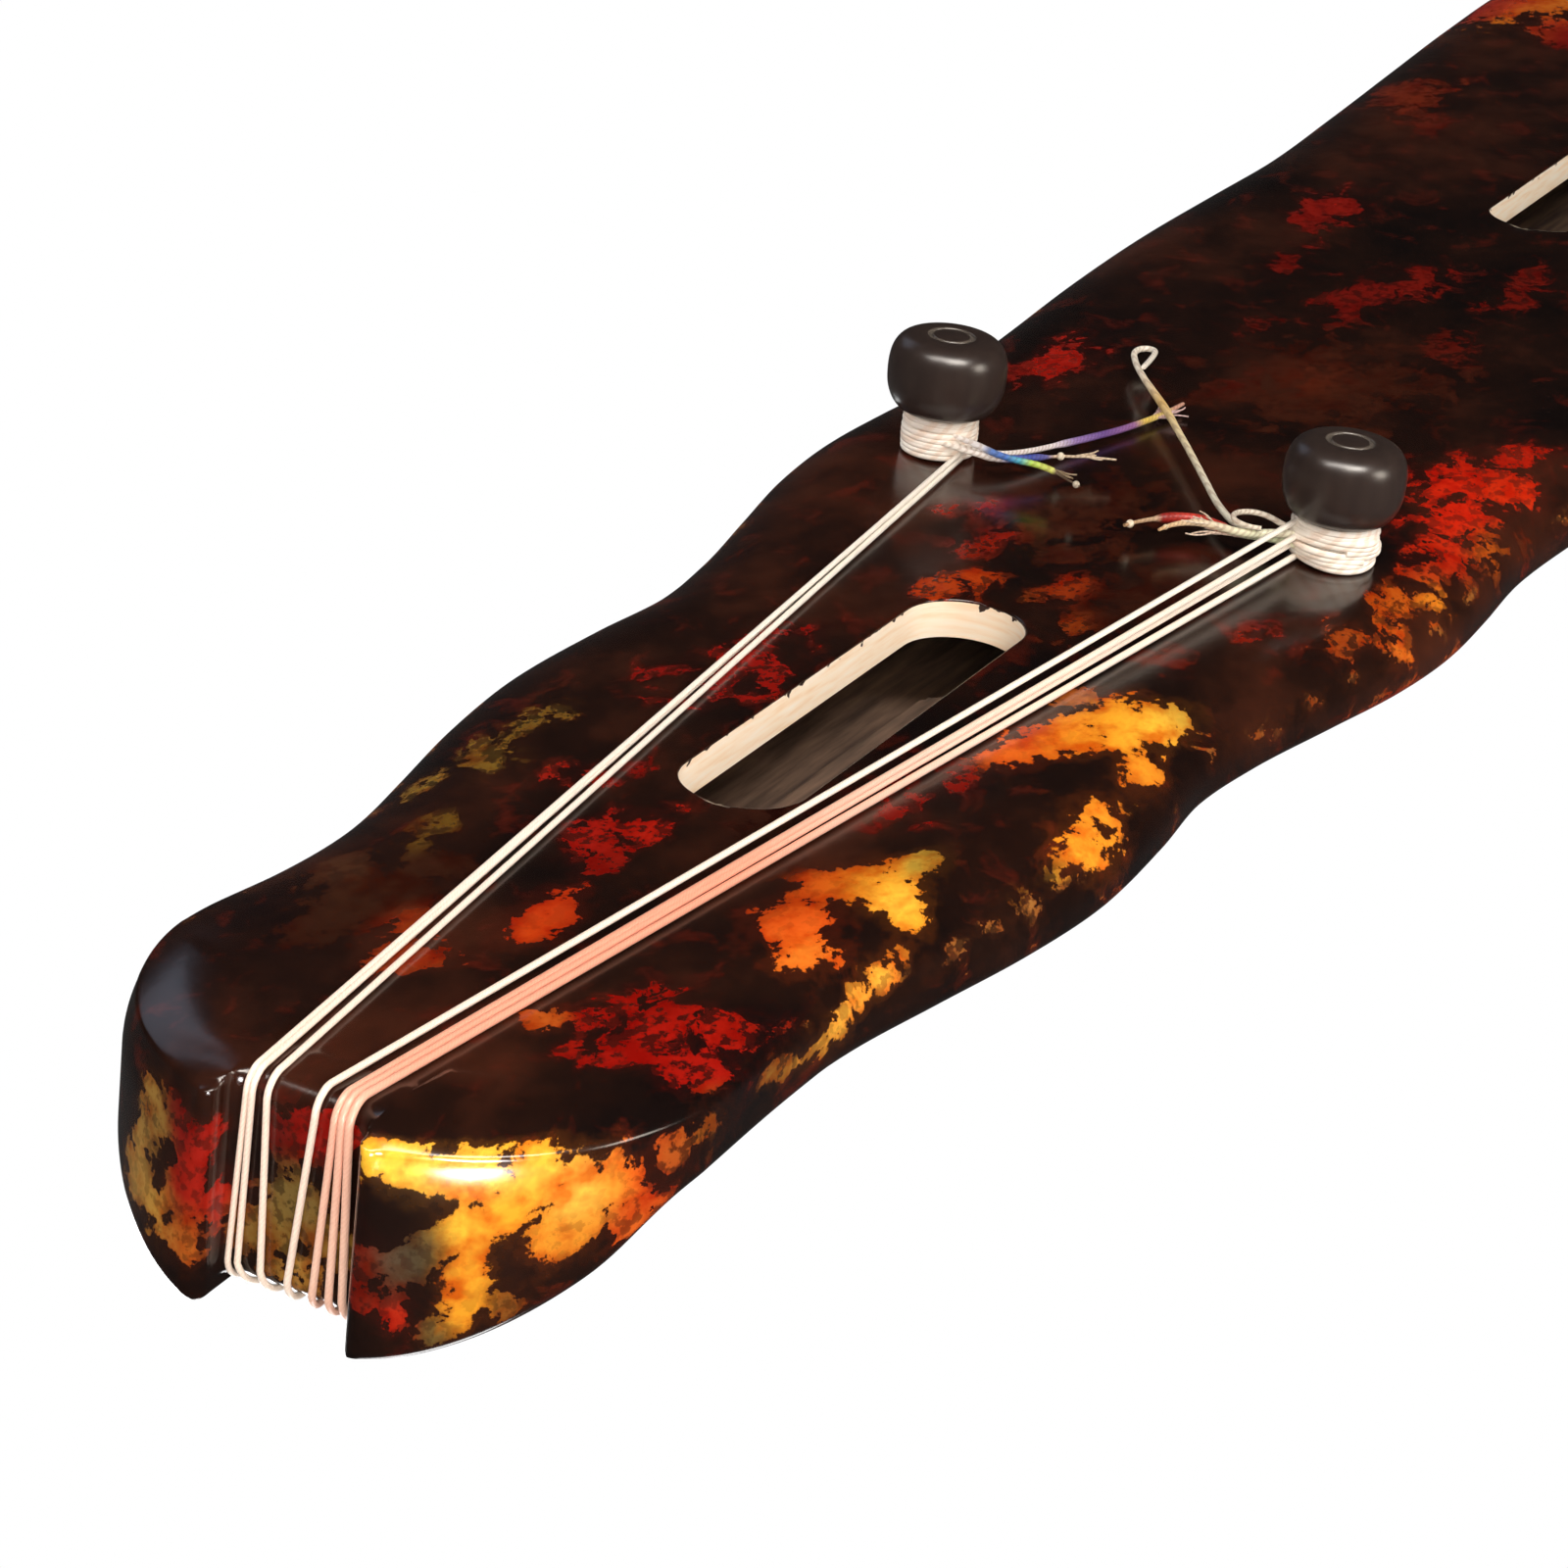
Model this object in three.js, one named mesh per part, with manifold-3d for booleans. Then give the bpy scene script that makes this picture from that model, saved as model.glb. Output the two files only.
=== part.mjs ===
// Guqin, the seven-string zither, in playing position.
// +X runs to the head, +Y to the outer side with the thirteen studs, +Z up from the table.
// A station is a distance along the instrument, counted from the tail end.
import * as THREE from 'three';
import { mergeVertices } from 'three/addons/utils/BufferGeometryUtils.js';
import Module from 'manifold-3d';

const wasm = await Module();
wasm.setup();

// Clearances and overruns
const gap = 0.3;
const overrun = 6;
const looseGap = 0.45;
const flatness = 0.01;
const weld = 0.0001;

// The two boards of the sound box
const board = {
  length: 1222,
  clearHeight: 27.3,
  bottomThickness: 12,
  soundThickness: 9.5,
  sideWall: 12,
  edgeWall: 2.6,
  edgeBevel: 11.3,
  tailBevel: 2.5,
  edgeRound: 22,
  tailRound: 2.6,
  headRound: 10,
};

// Half widths and thicknesses at the named places along the boards
const halfWidth = { tail: 52, feet: 77, shoulder: 97, neck: 82.5, head: 89 };
const thickness = { tail: 37, middle: 46, shoulder: 49, head: 47 };
const headCorner = { round: 24, flatHalf: 62 };

// Wavy outline: share of the length, share of a named half width, and which one
const outlineShares = [
  [0.041, 1.0, 'tail'], [0.065, 0.985, 'tail'], [0.085, 1.02, 'tail'], [0.106, 0.748, 'feet'],
  [0.128, 0.812, 'feet'], [0.149, 0.848, 'feet'], [0.175, 0.836, 'feet'], [0.196, 0.81, 'feet'],
  [0.216, 0.84, 'feet'], [0.241, 0.912, 'feet'], [0.261, 0.97, 'feet'], [0.282, 1.0, 'feet'],
  [0.303, 0.992, 'feet'], [0.322, 0.974, 'feet'], [0.363, 1.01, 'feet'], [0.404, 0.839, 'shoulder'],
  [0.445, 0.86, 'shoulder'], [0.486, 0.859, 'shoulder'], [0.519, 0.856, 'shoulder'],
  [0.568, 0.889, 'shoulder'], [0.617, 0.93, 'shoulder'], [0.668, 0.972, 'shoulder'],
  [0.727, 1.0, 'shoulder'], [0.768, 0.976, 'shoulder'], [0.797, 1.1, 'neck'], [0.822, 1.035, 'neck'],
  [0.846, 1.0, 'neck'], [0.875, 1.02, 'neck'], [0.903, 0.975, 'head'], [0.936, 1.0, 'head'],
  [1.0, 0.985, 'head'],
];
// Thickness along the middle line, in the same three columns
const crownShares = [
  [0.0, 1.0, 'tail'], [0.035, 1.0, 'tail'], [0.09, 1.04, 'tail'], [0.2, 1.11, 'tail'],
  [0.35, 0.945, 'middle'], [0.5, 1.0, 'middle'], [0.62, 1.02, 'middle'], [0.75, 1.0, 'shoulder'],
  [0.9, 1.0, 'shoulder'], [1.0, 1.0, 'head'],
];

// Tail: a round end with two lobes, and a string channel between them
const tail = {
  channelHalf: 13.3,
  endFace: 8,
  crownLength: 46,
  crownHeight: 41.6,
  crownEdge: 14,
  nutLength: 16,
  gumLength: 16,
  nutHeight: 37.8,
  lipRadius: 3.4,
};
const crownPower = 2.4;
const crownFullness = 0.75;

// Sound box: cavity, sound slots with raised sills inside the top board, and two posts
const cavity = { fromTail: 78, fromHead: 130 };
const phoenixPond = { middleShare: 0.1706, length: 122, width: 25 };
const dragonPool = { middleShare: 0.586, length: 204, width: 27 };
const sill = { height: 12, margin: 5 };
const heavenPillar = { middleShare: 0.7234, size: 20 };
const earthPillar = { middleShare: 0.4092, size: 15 };

// Strings, from the outermost and thickest to the innermost and thinnest
const string = {
  diameters: [1.2, 1.15, 1.1, 1.05, 1.0, 0.95, 0.9],
  bridgeSpacing: 18.5,
};
const stringCount = string.diameters.length;
const pinkStrings = 3;
const nutShares = [0.85, 0.567, 0.283, 0, -0.283, -0.567, -0.85];
const lipShares = [0.78, 0.57, 0.32, -0.02, -0.41, -0.72, -0.9];
const rimShares = [0.7, 0.56, 0.42, 0.2, -0.49, -0.69, -0.84];

// Head fittings
const bridge = {
  fromHead: 84,
  thickness: 9,
  half: 75,
  height: 15,
  crestDrop: 4,
  crestHalf: 62,
  inset: 2,
  soften: 1.4,
  toe: 2.5,
};
const collector = { length: 27, depth: 2.2, proud: 0.8, holeRadius: 2.7, boreRadius: 3.2 };
const knot = { radius: 2.3, flat: 0.8 };
const pool = { length: 34, half: 64, plate: 3 };
const peg = { length: 31, radius: 7.4, boreRadius: 1.9, boreDepth: 14 };
// Peg from its top to its end: shares of its radius and of its length
const pegShares = [
  [0.86, 0], [1, 0.06], [0.94, 0.16], [0.62, 0.27], [0.89, 0.44], [0.86, 0.6], [0.7, 0.86],
  [0.58, 1],
];
const pegCord = { diameter: 2.2 };
const guard = { topLength: 46, footLength: 30, thickness: 11, cornerRadius: 5, offset: 3.4 };

// Goose feet, with the strings wound on their necks
const foot = {
  middleShare: 0.2815,
  half: 47,
  knobRadius: 13.2,
  neckRadius: 4.5,
  neckLength: 9.9,
  tenon: 11,
  tenonLength: 11.4,
  ringOuter: 5.2,
  ringInner: 4.2,
  ringDepth: 0.5,
};
// Knob from its top to its end: shares of its radius and of its height
const knobShares = [
  [0.64, 1], [0.83, 0.94], [0.95, 0.82], [1, 0.62], [0.98, 0.41], [0.88, 0.22], [0.76, 0.05],
  [0.67, 0],
];
const winding = { steps: 24, sides: 6 };
// Each string's wound part: which foot, layer, share of the neck where it starts, way along the
// neck, and whole turns before the last one, which ends on the side towards the tail
const windings = [
  { side: 1, layer: 0, startShare: 0.096, way: 1, turns: 1 },
  { side: 1, layer: 1, startShare: 0.101, way: 1, turns: 1 },
  { side: 1, layer: 0, startShare: 0.919, way: -1, turns: 1 },
  { side: 1, layer: 1, startShare: 0.914, way: -1, turns: 1 },
  { side: -1, layer: 1, startShare: 0.092, way: 1, turns: 2 },
  { side: -1, layer: 0, startShare: 0.09, way: 1, turns: 2 },
  { side: -1, layer: 0, startShare: 0.925, way: -1, turns: 1 },
];

// Studs that mark the harmonics, as shares of the string from the bridge
const stud = { radius: 3.6, middleRadius: 5.2, depth: 1.1, proud: 0.15, offset: 12 };
const studShares = [
  1 / 8, 1 / 6, 1 / 5, 1 / 4, 1 / 3, 2 / 5, 1 / 2, 3 / 5, 2 / 3, 3 / 4, 4 / 5, 5 / 6, 7 / 8,
];

// Loose ends of the strings, counted from the middle of the foot's neck at the underside. Each
// goes straight on from its winding, then over the underside of the bottom board. Their stiff
// wound cores keep the set that they were given.
const endRoutes = [
  [
    [-5.4, -0.3, -3.8], [-5.4, -3.5, -3.9], [-5.4, -7.0, -3.9], [-5.4, -10.5, -3.9],
    [-5.7, -14.0, -3.9], [-5.9, -17.5, -3.9], [-4.0, -21.5, -3.9], [0.2, -25.5, -3.9],
    [5.8, -29.8, -3.9], [14.5, -35.5, -3.9], [23.5, -41.4, -3.9], [32.5, -47.4, -4.0],
    [41.5, -53.5, -4.0], [51.0, -60.0, -4.1], [60.0, -66.7, -4.1], [68.0, -72.7, -4.1],
    [75.5, -77.8, -4.1], [82.0, -81.4, -4.2], [86.5, -82.5, -4.4], [87.0, -80.4, -4.8],
    [83.0, -77.8, -5.2], [77.0, -75.8, -5.6], [71.0, -74.6, -6.0],
  ],
  [
    [-6.9, -0.3, -3.8], [-6.9, -3.5, -3.8], [-6.9, -7.0, -3.8], [-7.2, -10.2, -3.9],
    [-8.2, -13.4, -4.0], [-9.6, -16.6, -4.1], [-9.9, -20.0, -4.1], [-9.0, -23.4, -4.1],
    [-8.3, -26.6, -4.1], [-8.8, -29.6, -4.1], [-10.6, -32.4, -4.1], [-13.2, -34.8, -4.1],
    [-16.2, -36.7, -4.1], [-19.4, -38.2, -4.1], [-22.8, -39.4, -4.1],
  ],
  [
    [-5.4, -0.3, -6.4], [-5.4, -3.0, -6.4], [-5.4, -5.7, -6.5], [-5.2, -8.3, -6.6],
    [-4.4, -10.8, -6.7], [-3.2, -13.2, -6.8], [-2.5, -15.6, -6.9], [-3.0, -18.0, -7.0],
    [-4.6, -19.7, -7.1], [-6.8, -20.5, -7.2], [-9.1, -20.2, -7.3], [-11.0, -19.0, -7.3],
    [-12.1, -17.1, -7.3], [-12.4, -14.9, -7.3], [-11.8, -12.7, -7.3],
  ],
  [
    [-6.9, -0.3, -6.5], [-6.9, -3.0, -6.4], [-7.0, -5.7, -6.2], [-7.6, -8.3, -6.0],
    [-8.8, -10.8, -5.8], [-10.4, -13.1, -5.6], [-11.9, -15.5, -5.5], [-12.6, -18.2, -5.4],
    [-12.4, -21.0, -5.4], [-12.3, -23.8, -5.3], [-13.2, -26.4, -5.3], [-15.1, -28.5, -5.3],
    [-17.5, -30.0, -5.3], [-20.2, -30.9, -5.3], [-23.0, -31.4, -5.3],
  ],
  [
    [-6.9, 0.3, -4.9], [-6.9, 3.5, -4.9], [-7.1, 6.7, -4.9], [-7.5, 9.9, -4.9],
    [-7.6, 13.1, -4.9], [-7.1, 16.2, -4.9], [-5.6, 19.1, -4.9], [-3.3, 21.4, -4.9],
    [-0.6, 23.4, -4.9], [2.1, 25.4, -4.8], [4.6, 27.5, -4.8], [6.9, 29.8, -4.7],
    [8.9, 32.3, -4.7], [10.6, 35.0, -4.6], [12.0, 37.8, -4.6],
  ],
  [
    [-5.4, 0.3, -4.7], [-5.4, 3.8, -4.7], [-5.3, 7.3, -4.6], [-4.6, 10.7, -4.4],
    [-2.8, 13.8, -4.1], [0.2, 16.4, -3.8], [4.2, 18.4, -3.5], [8.8, 20.0, -3.2],
    [13.8, 21.4, -2.9], [19.0, 22.8, -2.6], [24.4, 24.3, -2.3], [29.8, 25.8, -2.1],
    [35.2, 27.3, -1.9], [40.8, 28.7, -1.8], [46.6, 30.0, -1.8], [52.6, 31.1, -1.8],
    [58.6, 32.0, -1.9], [64.6, 32.6, -2.0],
  ],
  [
    [-5.4, 0.3, -6.8], [-5.4, 3.2, -6.8], [-5.5, 6.1, -6.7], [-5.9, 9.0, -6.6],
    [-6.6, 11.8, -6.5], [-7.6, 14.6, -6.5], [-8.6, 17.4, -6.5], [-9.0, 20.3, -6.5],
    [-8.7, 23.2, -6.4], [-8.2, 26.1, -6.4], [-8.2, 29.0, -6.3], [-9.1, 31.7, -6.3],
    [-10.5, 34.2, -6.2], [-11.9, 36.8, -6.2], [-13.0, 39.6, -6.1],
  ],
];

// Finishes
const lacquer = new THREE.MeshStandardMaterial({ color: 0x2a140e, roughness: 0.2 });
const rosewood = new THREE.MeshStandardMaterial({ color: 0x35211b, roughness: 0.35 });
const rawWood = new THREE.MeshStandardMaterial({ color: 0xd9b98a, roughness: 0.75 });
const blackHorn = new THREE.MeshStandardMaterial({ color: 0x2b2624, roughness: 0.3 });
const pearl = new THREE.MeshStandardMaterial({ color: 0xe8e4d8, roughness: 0.25 });
const whiteString = new THREE.MeshStandardMaterial({ color: 0xf3e6d6, roughness: 0.5 });
const pinkString = new THREE.MeshStandardMaterial({ color: 0xe8a88e, roughness: 0.5 });
const silkCord = new THREE.MeshStandardMaterial({ color: 0x8a2a22, roughness: 0.8 });

// Levels of the boards
const underside = board.clearHeight;
const seam = underside + board.bottomThickness;
const topSeam = seam + gap;
const tailHalf = halfWidth.tail;
const tailCentre = Math.sqrt(tailHalf ** 2 - tail.channelHalf ** 2);
const bridgeStation = board.length - bridge.fromHead;
const stringLength = bridgeStation - tail.endFace;
const cavityHead = board.length - cavity.fromHead;
const pondStation = phoenixPond.middleShare * board.length;
const poolStation = dragonPool.middleShare * board.length;
const heavenStation = heavenPillar.middleShare * board.length;
const earthStation = earthPillar.middleShare * board.length;
const footStation = foot.middleShare * board.length;
const collectorStation = bridgeStation + bridge.thickness + gap;
const pegStation = collectorStation + collector.length / 2;

const toX = (station) => station - board.length / 2;
const lerp = THREE.MathUtils.lerp;
const smoothstep = THREE.MathUtils.smoothstep;
const clamp = THREE.MathUtils.clamp;

// A smooth curve through rows of a table, as a function of the station
function curveThrough(rows, sizes) {
  const places = rows.map((row) => row[0]);
  const values = rows.map((row) => row[1] * sizes[row[2]]);
  const curve = new THREE.CubicInterpolant(places, values, 1);
  return (station) => {
    const share = clamp(station / board.length, places[0], places[places.length - 1]);
    return curve.evaluate(share)[0];
  };
}
const outlineAt = curveThrough(outlineShares, halfWidth);
const thicknessAt = curveThrough(crownShares, thickness);

// Half width of the plan at a station, with the round tail end and the rounded head corners
function planHalf(station) {
  if (station < tailCentre) {
    return Math.sqrt(Math.max(tailHalf ** 2 - (tailCentre - station) ** 2, 0));
  }
  const fromHead = board.length - station;
  const half = outlineAt(station);
  if (fromHead >= headCorner.round) return half;
  const rise = Math.sqrt(1 - (1 - fromHead / headCorner.round) ** 2);
  return lerp(headCorner.flatHalf, half, rise);
}

// Height of the top board's surface
function topSurface(station, y) {
  const half = Math.max(outlineAt(station), tailHalf);
  const edge = seam + board.edgeWall;
  const crest = underside + thicknessAt(station);
  const across = clamp(Math.abs(y) / half, 0, 1);
  return edge + (crest - edge) * (1 - across ** 2);
}

// Height of the tail lobes, which stand proud of the board beside the string channel
function lobeSurface(station, y) {
  const across = clamp(Math.abs(y) / tailHalf, 0, 1);
  const arch = (1 - across ** crownPower) ** crownFullness;
  const full = underside + tail.crownEdge + (tail.crownHeight - tail.crownEdge) * arch;
  const start = tail.crownLength * 0.55;
  return lerp(full, topSurface(station, y), smoothstep(station, start, tail.crownLength));
}

// Height of the underside, flat in the middle and rounded up to the edges
function lowSurface(station, y) {
  const half = planHalf(station);
  const intoBody = smoothstep(station, tail.crownLength, tail.crownLength + 2 * tailHalf);
  const intoHead = smoothstep(station, cavityHead - board.edgeRound, bridgeStation);
  const round = lerp(lerp(board.tailRound, board.edgeRound, intoBody), board.headRound, intoHead);
  const rise = lerp(board.tailBevel, board.edgeBevel, intoBody);
  const into = clamp((Math.abs(y) - (half - round)) / round, 0, 1);
  return underside + rise * (1 - Math.sqrt(1 - into ** 2));
}

// Inner face of the top board over the cavity
const cavityRoof = (station, y) => topSurface(station, y) - board.soundThickness;
const cavityHalf = (station) => outlineAt(station) - board.sideWall;

// A closed solid between two height functions, over stations and a span of y
function slab(stations, across, spanOf, lowOf, highOf) {
  const positions = [];
  const index = [];
  const row = across + 1;
  for (const station of stations) {
    const [yFrom, yTo] = spanOf(station);
    for (let j = 0; j <= across; j += 1) {
      const share = 0.5 - 0.5 * Math.cos((Math.PI * j) / across);
      const y = lerp(yFrom, yTo, share);
      positions.push(toX(station), y, lowOf(station, y));
      positions.push(toX(station), y, highOf(station, y));
    }
  }
  const low = (i, j) => 2 * (i * row + j);
  const high = (i, j) => low(i, j) + 1;
  const quad = (a, b, c, d) => index.push(a, b, c, a, c, d);
  const last = stations.length - 1;
  for (let i = 0; i < last; i += 1) {
    for (let j = 0; j < across; j += 1) {
      quad(high(i, j), high(i + 1, j), high(i + 1, j + 1), high(i, j + 1));
      quad(low(i, j + 1), low(i + 1, j + 1), low(i + 1, j), low(i, j));
    }
    quad(low(i, 0), low(i + 1, 0), high(i + 1, 0), high(i, 0));
    quad(low(i + 1, across), low(i, across), high(i, across), high(i + 1, across));
  }
  for (let j = 0; j < across; j += 1) {
    quad(low(0, j + 1), low(0, j), high(0, j), high(0, j + 1));
    quad(low(last, j), low(last, j + 1), high(last, j + 1), high(last, j));
  }
  return closedGeometry(positions, index);
}

// A disc whose two faces follow height functions
function disc(station, yMiddle, radius, sides, lowOf, highOf) {
  const positions = [];
  const index = [];
  const put = (s, y) => {
    positions.push(toX(s), y, lowOf(s, y));
    positions.push(toX(s), y, highOf(s, y));
  };
  put(station, yMiddle);
  for (let i = 0; i < sides; i += 1) {
    const angle = (2 * Math.PI * i) / sides;
    put(station + radius * Math.cos(angle), yMiddle + radius * Math.sin(angle));
  }
  for (let i = 0; i < sides; i += 1) {
    const a = 2 * (i + 1);
    const b = 2 * (((i + 1) % sides) + 1);
    index.push(1, a + 1, b + 1, 0, b, a, a, b, b + 1, a, b + 1, a + 1);
  }
  return closedGeometry(positions, index);
}

function closedGeometry(positions, index) {
  const geometry = new THREE.BufferGeometry();
  geometry.setAttribute('position', new THREE.Float32BufferAttribute(positions, 3));
  geometry.setIndex(index);
  return geometry;
}

// Solids for cutting and joining
function toSolid(geometry) {
  const bare = geometry.clone();
  bare.deleteAttribute('normal');
  bare.deleteAttribute('uv');
  const merged = mergeVertices(bare, weld);
  const vertProperties = new Float32Array(merged.attributes.position.array);
  const triVerts = new Uint32Array(merged.index.array);
  return new wasm.Manifold(new wasm.Mesh({ numProp: 3, vertProperties, triVerts }));
}

function toGeometry(solid) {
  const mesh = solid.asOriginal().simplify(flatness).getMesh();
  return closedGeometry(Array.from(mesh.vertProperties), Array.from(mesh.triVerts));
}

function cut(geometry, cutters) {
  return toGeometry(cutters.reduce((rest, cutter) => rest.subtract(toSolid(cutter)), toSolid(geometry)));
}

function join(geometries) {
  return toGeometry(geometries.map(toSolid).reduce((whole, next) => whole.add(next)));
}

// A box between two corners, given as station, y and z
function boxBetween(low, high) {
  const size = high.map((value, axis) => value - low[axis]);
  const box = new THREE.BoxGeometry(...size);
  box.translate(toX((low[0] + high[0]) / 2), (low[1] + high[1]) / 2, (low[2] + high[2]) / 2);
  return box;
}

// An upright cylinder between two heights
function post(station, y, radius, zFrom, zTo, sides) {
  const cylinder = new THREE.CylinderGeometry(radius, radius, zTo - zFrom, sides);
  cylinder.rotateX(Math.PI / 2);
  cylinder.translate(toX(station), y, (zFrom + zTo) / 2);
  return cylinder;
}

// A turned solid about a vertical axis, from points of radius and height
function turned(profile, sides) {
  const lathe = new THREE.LatheGeometry(profile.map(([radius, z]) => new THREE.Vector2(radius, z)), sides);
  lathe.rotateX(Math.PI / 2);
  return lathe;
}

// A prism with two round ends, for the sound slots
function roundSlot(slot, middle, zFrom, zTo) {
  const radius = slot.width / 2;
  const straight = slot.length / 2 - radius;
  const shape = new THREE.Shape();
  shape.absarc(straight, 0, radius, -Math.PI / 2, Math.PI / 2);
  shape.absarc(-straight, 0, radius, Math.PI / 2, 1.5 * Math.PI);
  const prism = new THREE.ExtrudeGeometry(shape, {
    depth: zTo - zFrom, bevelEnabled: false, curveSegments: 8,
  });
  prism.translate(toX(middle), 0, zFrom);
  return prism;
}

// A round tube along points, with flat ends. Each ring is square to the path.
function tube(points, radius, sides) {
  const positions = [];
  const index = [];
  const tangents = points.map((point, i) => {
    const before = points[Math.max(i - 1, 0)];
    const after = points[Math.min(i + 1, points.length - 1)];
    return after.clone().sub(before).normalize();
  });
  let side = new THREE.Vector3(0, 1, 0).cross(tangents[0]);
  if (side.length() < 0.1) side = new THREE.Vector3(0, 0, 1).cross(tangents[0]);
  side.normalize();
  points.forEach((point, i) => {
    side.addScaledVector(tangents[i], -side.dot(tangents[i])).normalize();
    const other = tangents[i].clone().cross(side);
    for (let k = 0; k < sides; k += 1) {
      const angle = (2 * Math.PI * k) / sides;
      const ring = point.clone();
      ring.addScaledVector(side, radius * Math.cos(angle));
      ring.addScaledVector(other, radius * Math.sin(angle));
      positions.push(ring.x, ring.y, ring.z);
    }
  });
  const last = points.length - 1;
  for (let i = 0; i < last; i += 1) {
    for (let k = 0; k < sides; k += 1) {
      const next = (k + 1) % sides;
      const a = i * sides + k;
      const b = i * sides + next;
      index.push(a, b, b + sides, a, b + sides, a + sides);
    }
  }
  for (let k = 1; k < sides - 1; k += 1) {
    index.push(0, k + 1, k, last * sides, last * sides + k, last * sides + k + 1);
  }
  return closedGeometry(positions, index);
}

// Stations: even steps, and closer ones round the tail end
function evenStations(from, to, count) {
  return Array.from({ length: count + 1 }, (_, i) => lerp(from, to, i / count));
}
function roundStations(from, count) {
  return Array.from({ length: count }, (_, i) => {
    const angle = lerp(0, Math.PI / 2, i / count);
    return lerp(from, tailCentre, 1 - Math.cos(angle));
  });
}
const bodyStations = evenStations(tailCentre, board.length - headCorner.round, 36);
const headStations = [0.7, 0.4, 0.15, 0.03, 0].map((share) => board.length - headCorner.round * share);
const tailStations = roundStations(-tailHalf + tailCentre + gap, 9);
const allStations = [...tailStations, ...bodyStations, ...headStations];
const planSpan = (station) => [-planHalf(station), planHalf(station)];

const group = new THREE.Group();
function addPiece(name, geometry, material) {
  const mesh = new THREE.Mesh(geometry, material);
  mesh.name = name;
  group.add(mesh);
  return mesh;
}

// Room for the tail fittings: the lobes, the nut and the lower gum
const farOut = halfWidth.shoulder + overrun;
const channelWall = tail.channelHalf - gap;
const lobeRooms = [-1, 1].map((side) => boxBetween(
  [-overrun, Math.min(side * channelWall, side * farOut), topSeam - overrun],
  [tail.crownLength + gap, Math.max(side * channelWall, side * farOut), underside + 2 * thickness.tail],
));
const nutRoom = boxBetween(
  [-overrun, -farOut, topSeam - overrun],
  [tail.endFace + tail.nutLength + gap, farOut, underside + 2 * thickness.tail],
);

// Bridge and dew collector, set into the top board at the head
function crestHeight(y) {
  const middle = topSurface(bridgeStation, 0) + bridge.height;
  const drop = bridge.crestDrop * (Math.abs(y) / bridge.crestHalf) ** 2;
  const toe = topSurface(bridgeStation, y) + bridge.toe;
  const fall = smoothstep(Math.abs(y), bridge.crestHalf, bridge.half);
  return lerp(middle - drop, toe, fall);
}
const bridgeHigh = (station, y) => {
  const into = (station - bridgeStation) / bridge.thickness;
  const soft = Math.abs(2 * into - 1) > 0.9 ? bridge.soften : 0;
  return crestHeight(y) - soft;
};
const bridgeLow = (station, y) => topSurface(station, y) - bridge.inset;
const fittingSpan = () => [-bridge.half, bridge.half];
const fittingRoomSpan = () => [-bridge.half - gap, bridge.half + gap];
const bridgeStations = [0, 0.18, 0.82, 1].map((share) => bridgeStation + bridge.thickness * share);
const collectorEnd = collectorStation + collector.length;
const fittingRoom = slab(
  evenStations(bridgeStation - gap, collectorEnd + gap, 3),
  14,
  fittingRoomSpan,
  (station, y) => topSurface(station, y) - collector.depth - gap,
  (station, y) => topSurface(station, y) + overrun,
);
const middleString = (stringCount - 1) / 2;
const pegYs = string.diameters.map((_, i) => (middleString - i) * string.bridgeSpacing);

// Studs, set flush in a line beside the outermost string
const outerNutY = nutShares[0] * tail.channelHalf;
const outerBridgeY = pegYs[0];
const studs = studShares.map((share, i) => {
  const station = bridgeStation - share * stringLength;
  const along = 1 - share;
  const middle = i === (studShares.length - 1) / 2;
  return {
    name: `hui_${String(i + 1).padStart(2, '0')}`,
    station,
    y: lerp(outerNutY, outerBridgeY, along) + stud.offset,
    radius: middle ? stud.middleRadius : stud.radius,
  };
});
const studFloor = (station, y) => topSurface(station, y) - stud.depth;
const studFace = (station, y) => topSurface(station, y) + stud.proud;

// Top board: arched outside, hollow inside, with sills over the sound slots
const topOuter = slab(allStations, 14, planSpan, () => topSeam, topSurface);
const cavitySolid = slab(
  evenStations(cavity.fromTail, cavityHead, 24),
  8,
  (station) => [-cavityHalf(station), cavityHalf(station)],
  () => topSeam - overrun,
  cavityRoof,
);
function sillOver(slot, middle) {
  const half = slot.width / 2 - sill.margin;
  const reach = slot.length / 2 - sill.margin;
  return slab(
    evenStations(middle - reach, middle + reach, 4),
    2,
    () => [-half, half],
    (station, y) => cavityRoof(station, y) - sill.height,
    (station, y) => cavityRoof(station, y) + overrun,
  );
}
const hollow = cut(cavitySolid, [sillOver(phoenixPond, pondStation), sillOver(dragonPool, poolStation)]);
const cordBores = pegYs.map((y) => post(
  pegStation, y, collector.boreRadius, topSeam - overrun, topSurface(pegStation, 0) + overrun, 8,
));
const studPockets = studs.map((each) => disc(
  each.station, each.y, each.radius + gap, 12,
  (station, y) => studFloor(station, y) - gap,
  (station, y) => studFace(station, y) + overrun,
));
const topCutters = [hollow, ...lobeRooms, nutRoom, fittingRoom, ...cordBores, ...studPockets];
addPiece('top_board', cut(topOuter, topCutters), lacquer);

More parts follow.
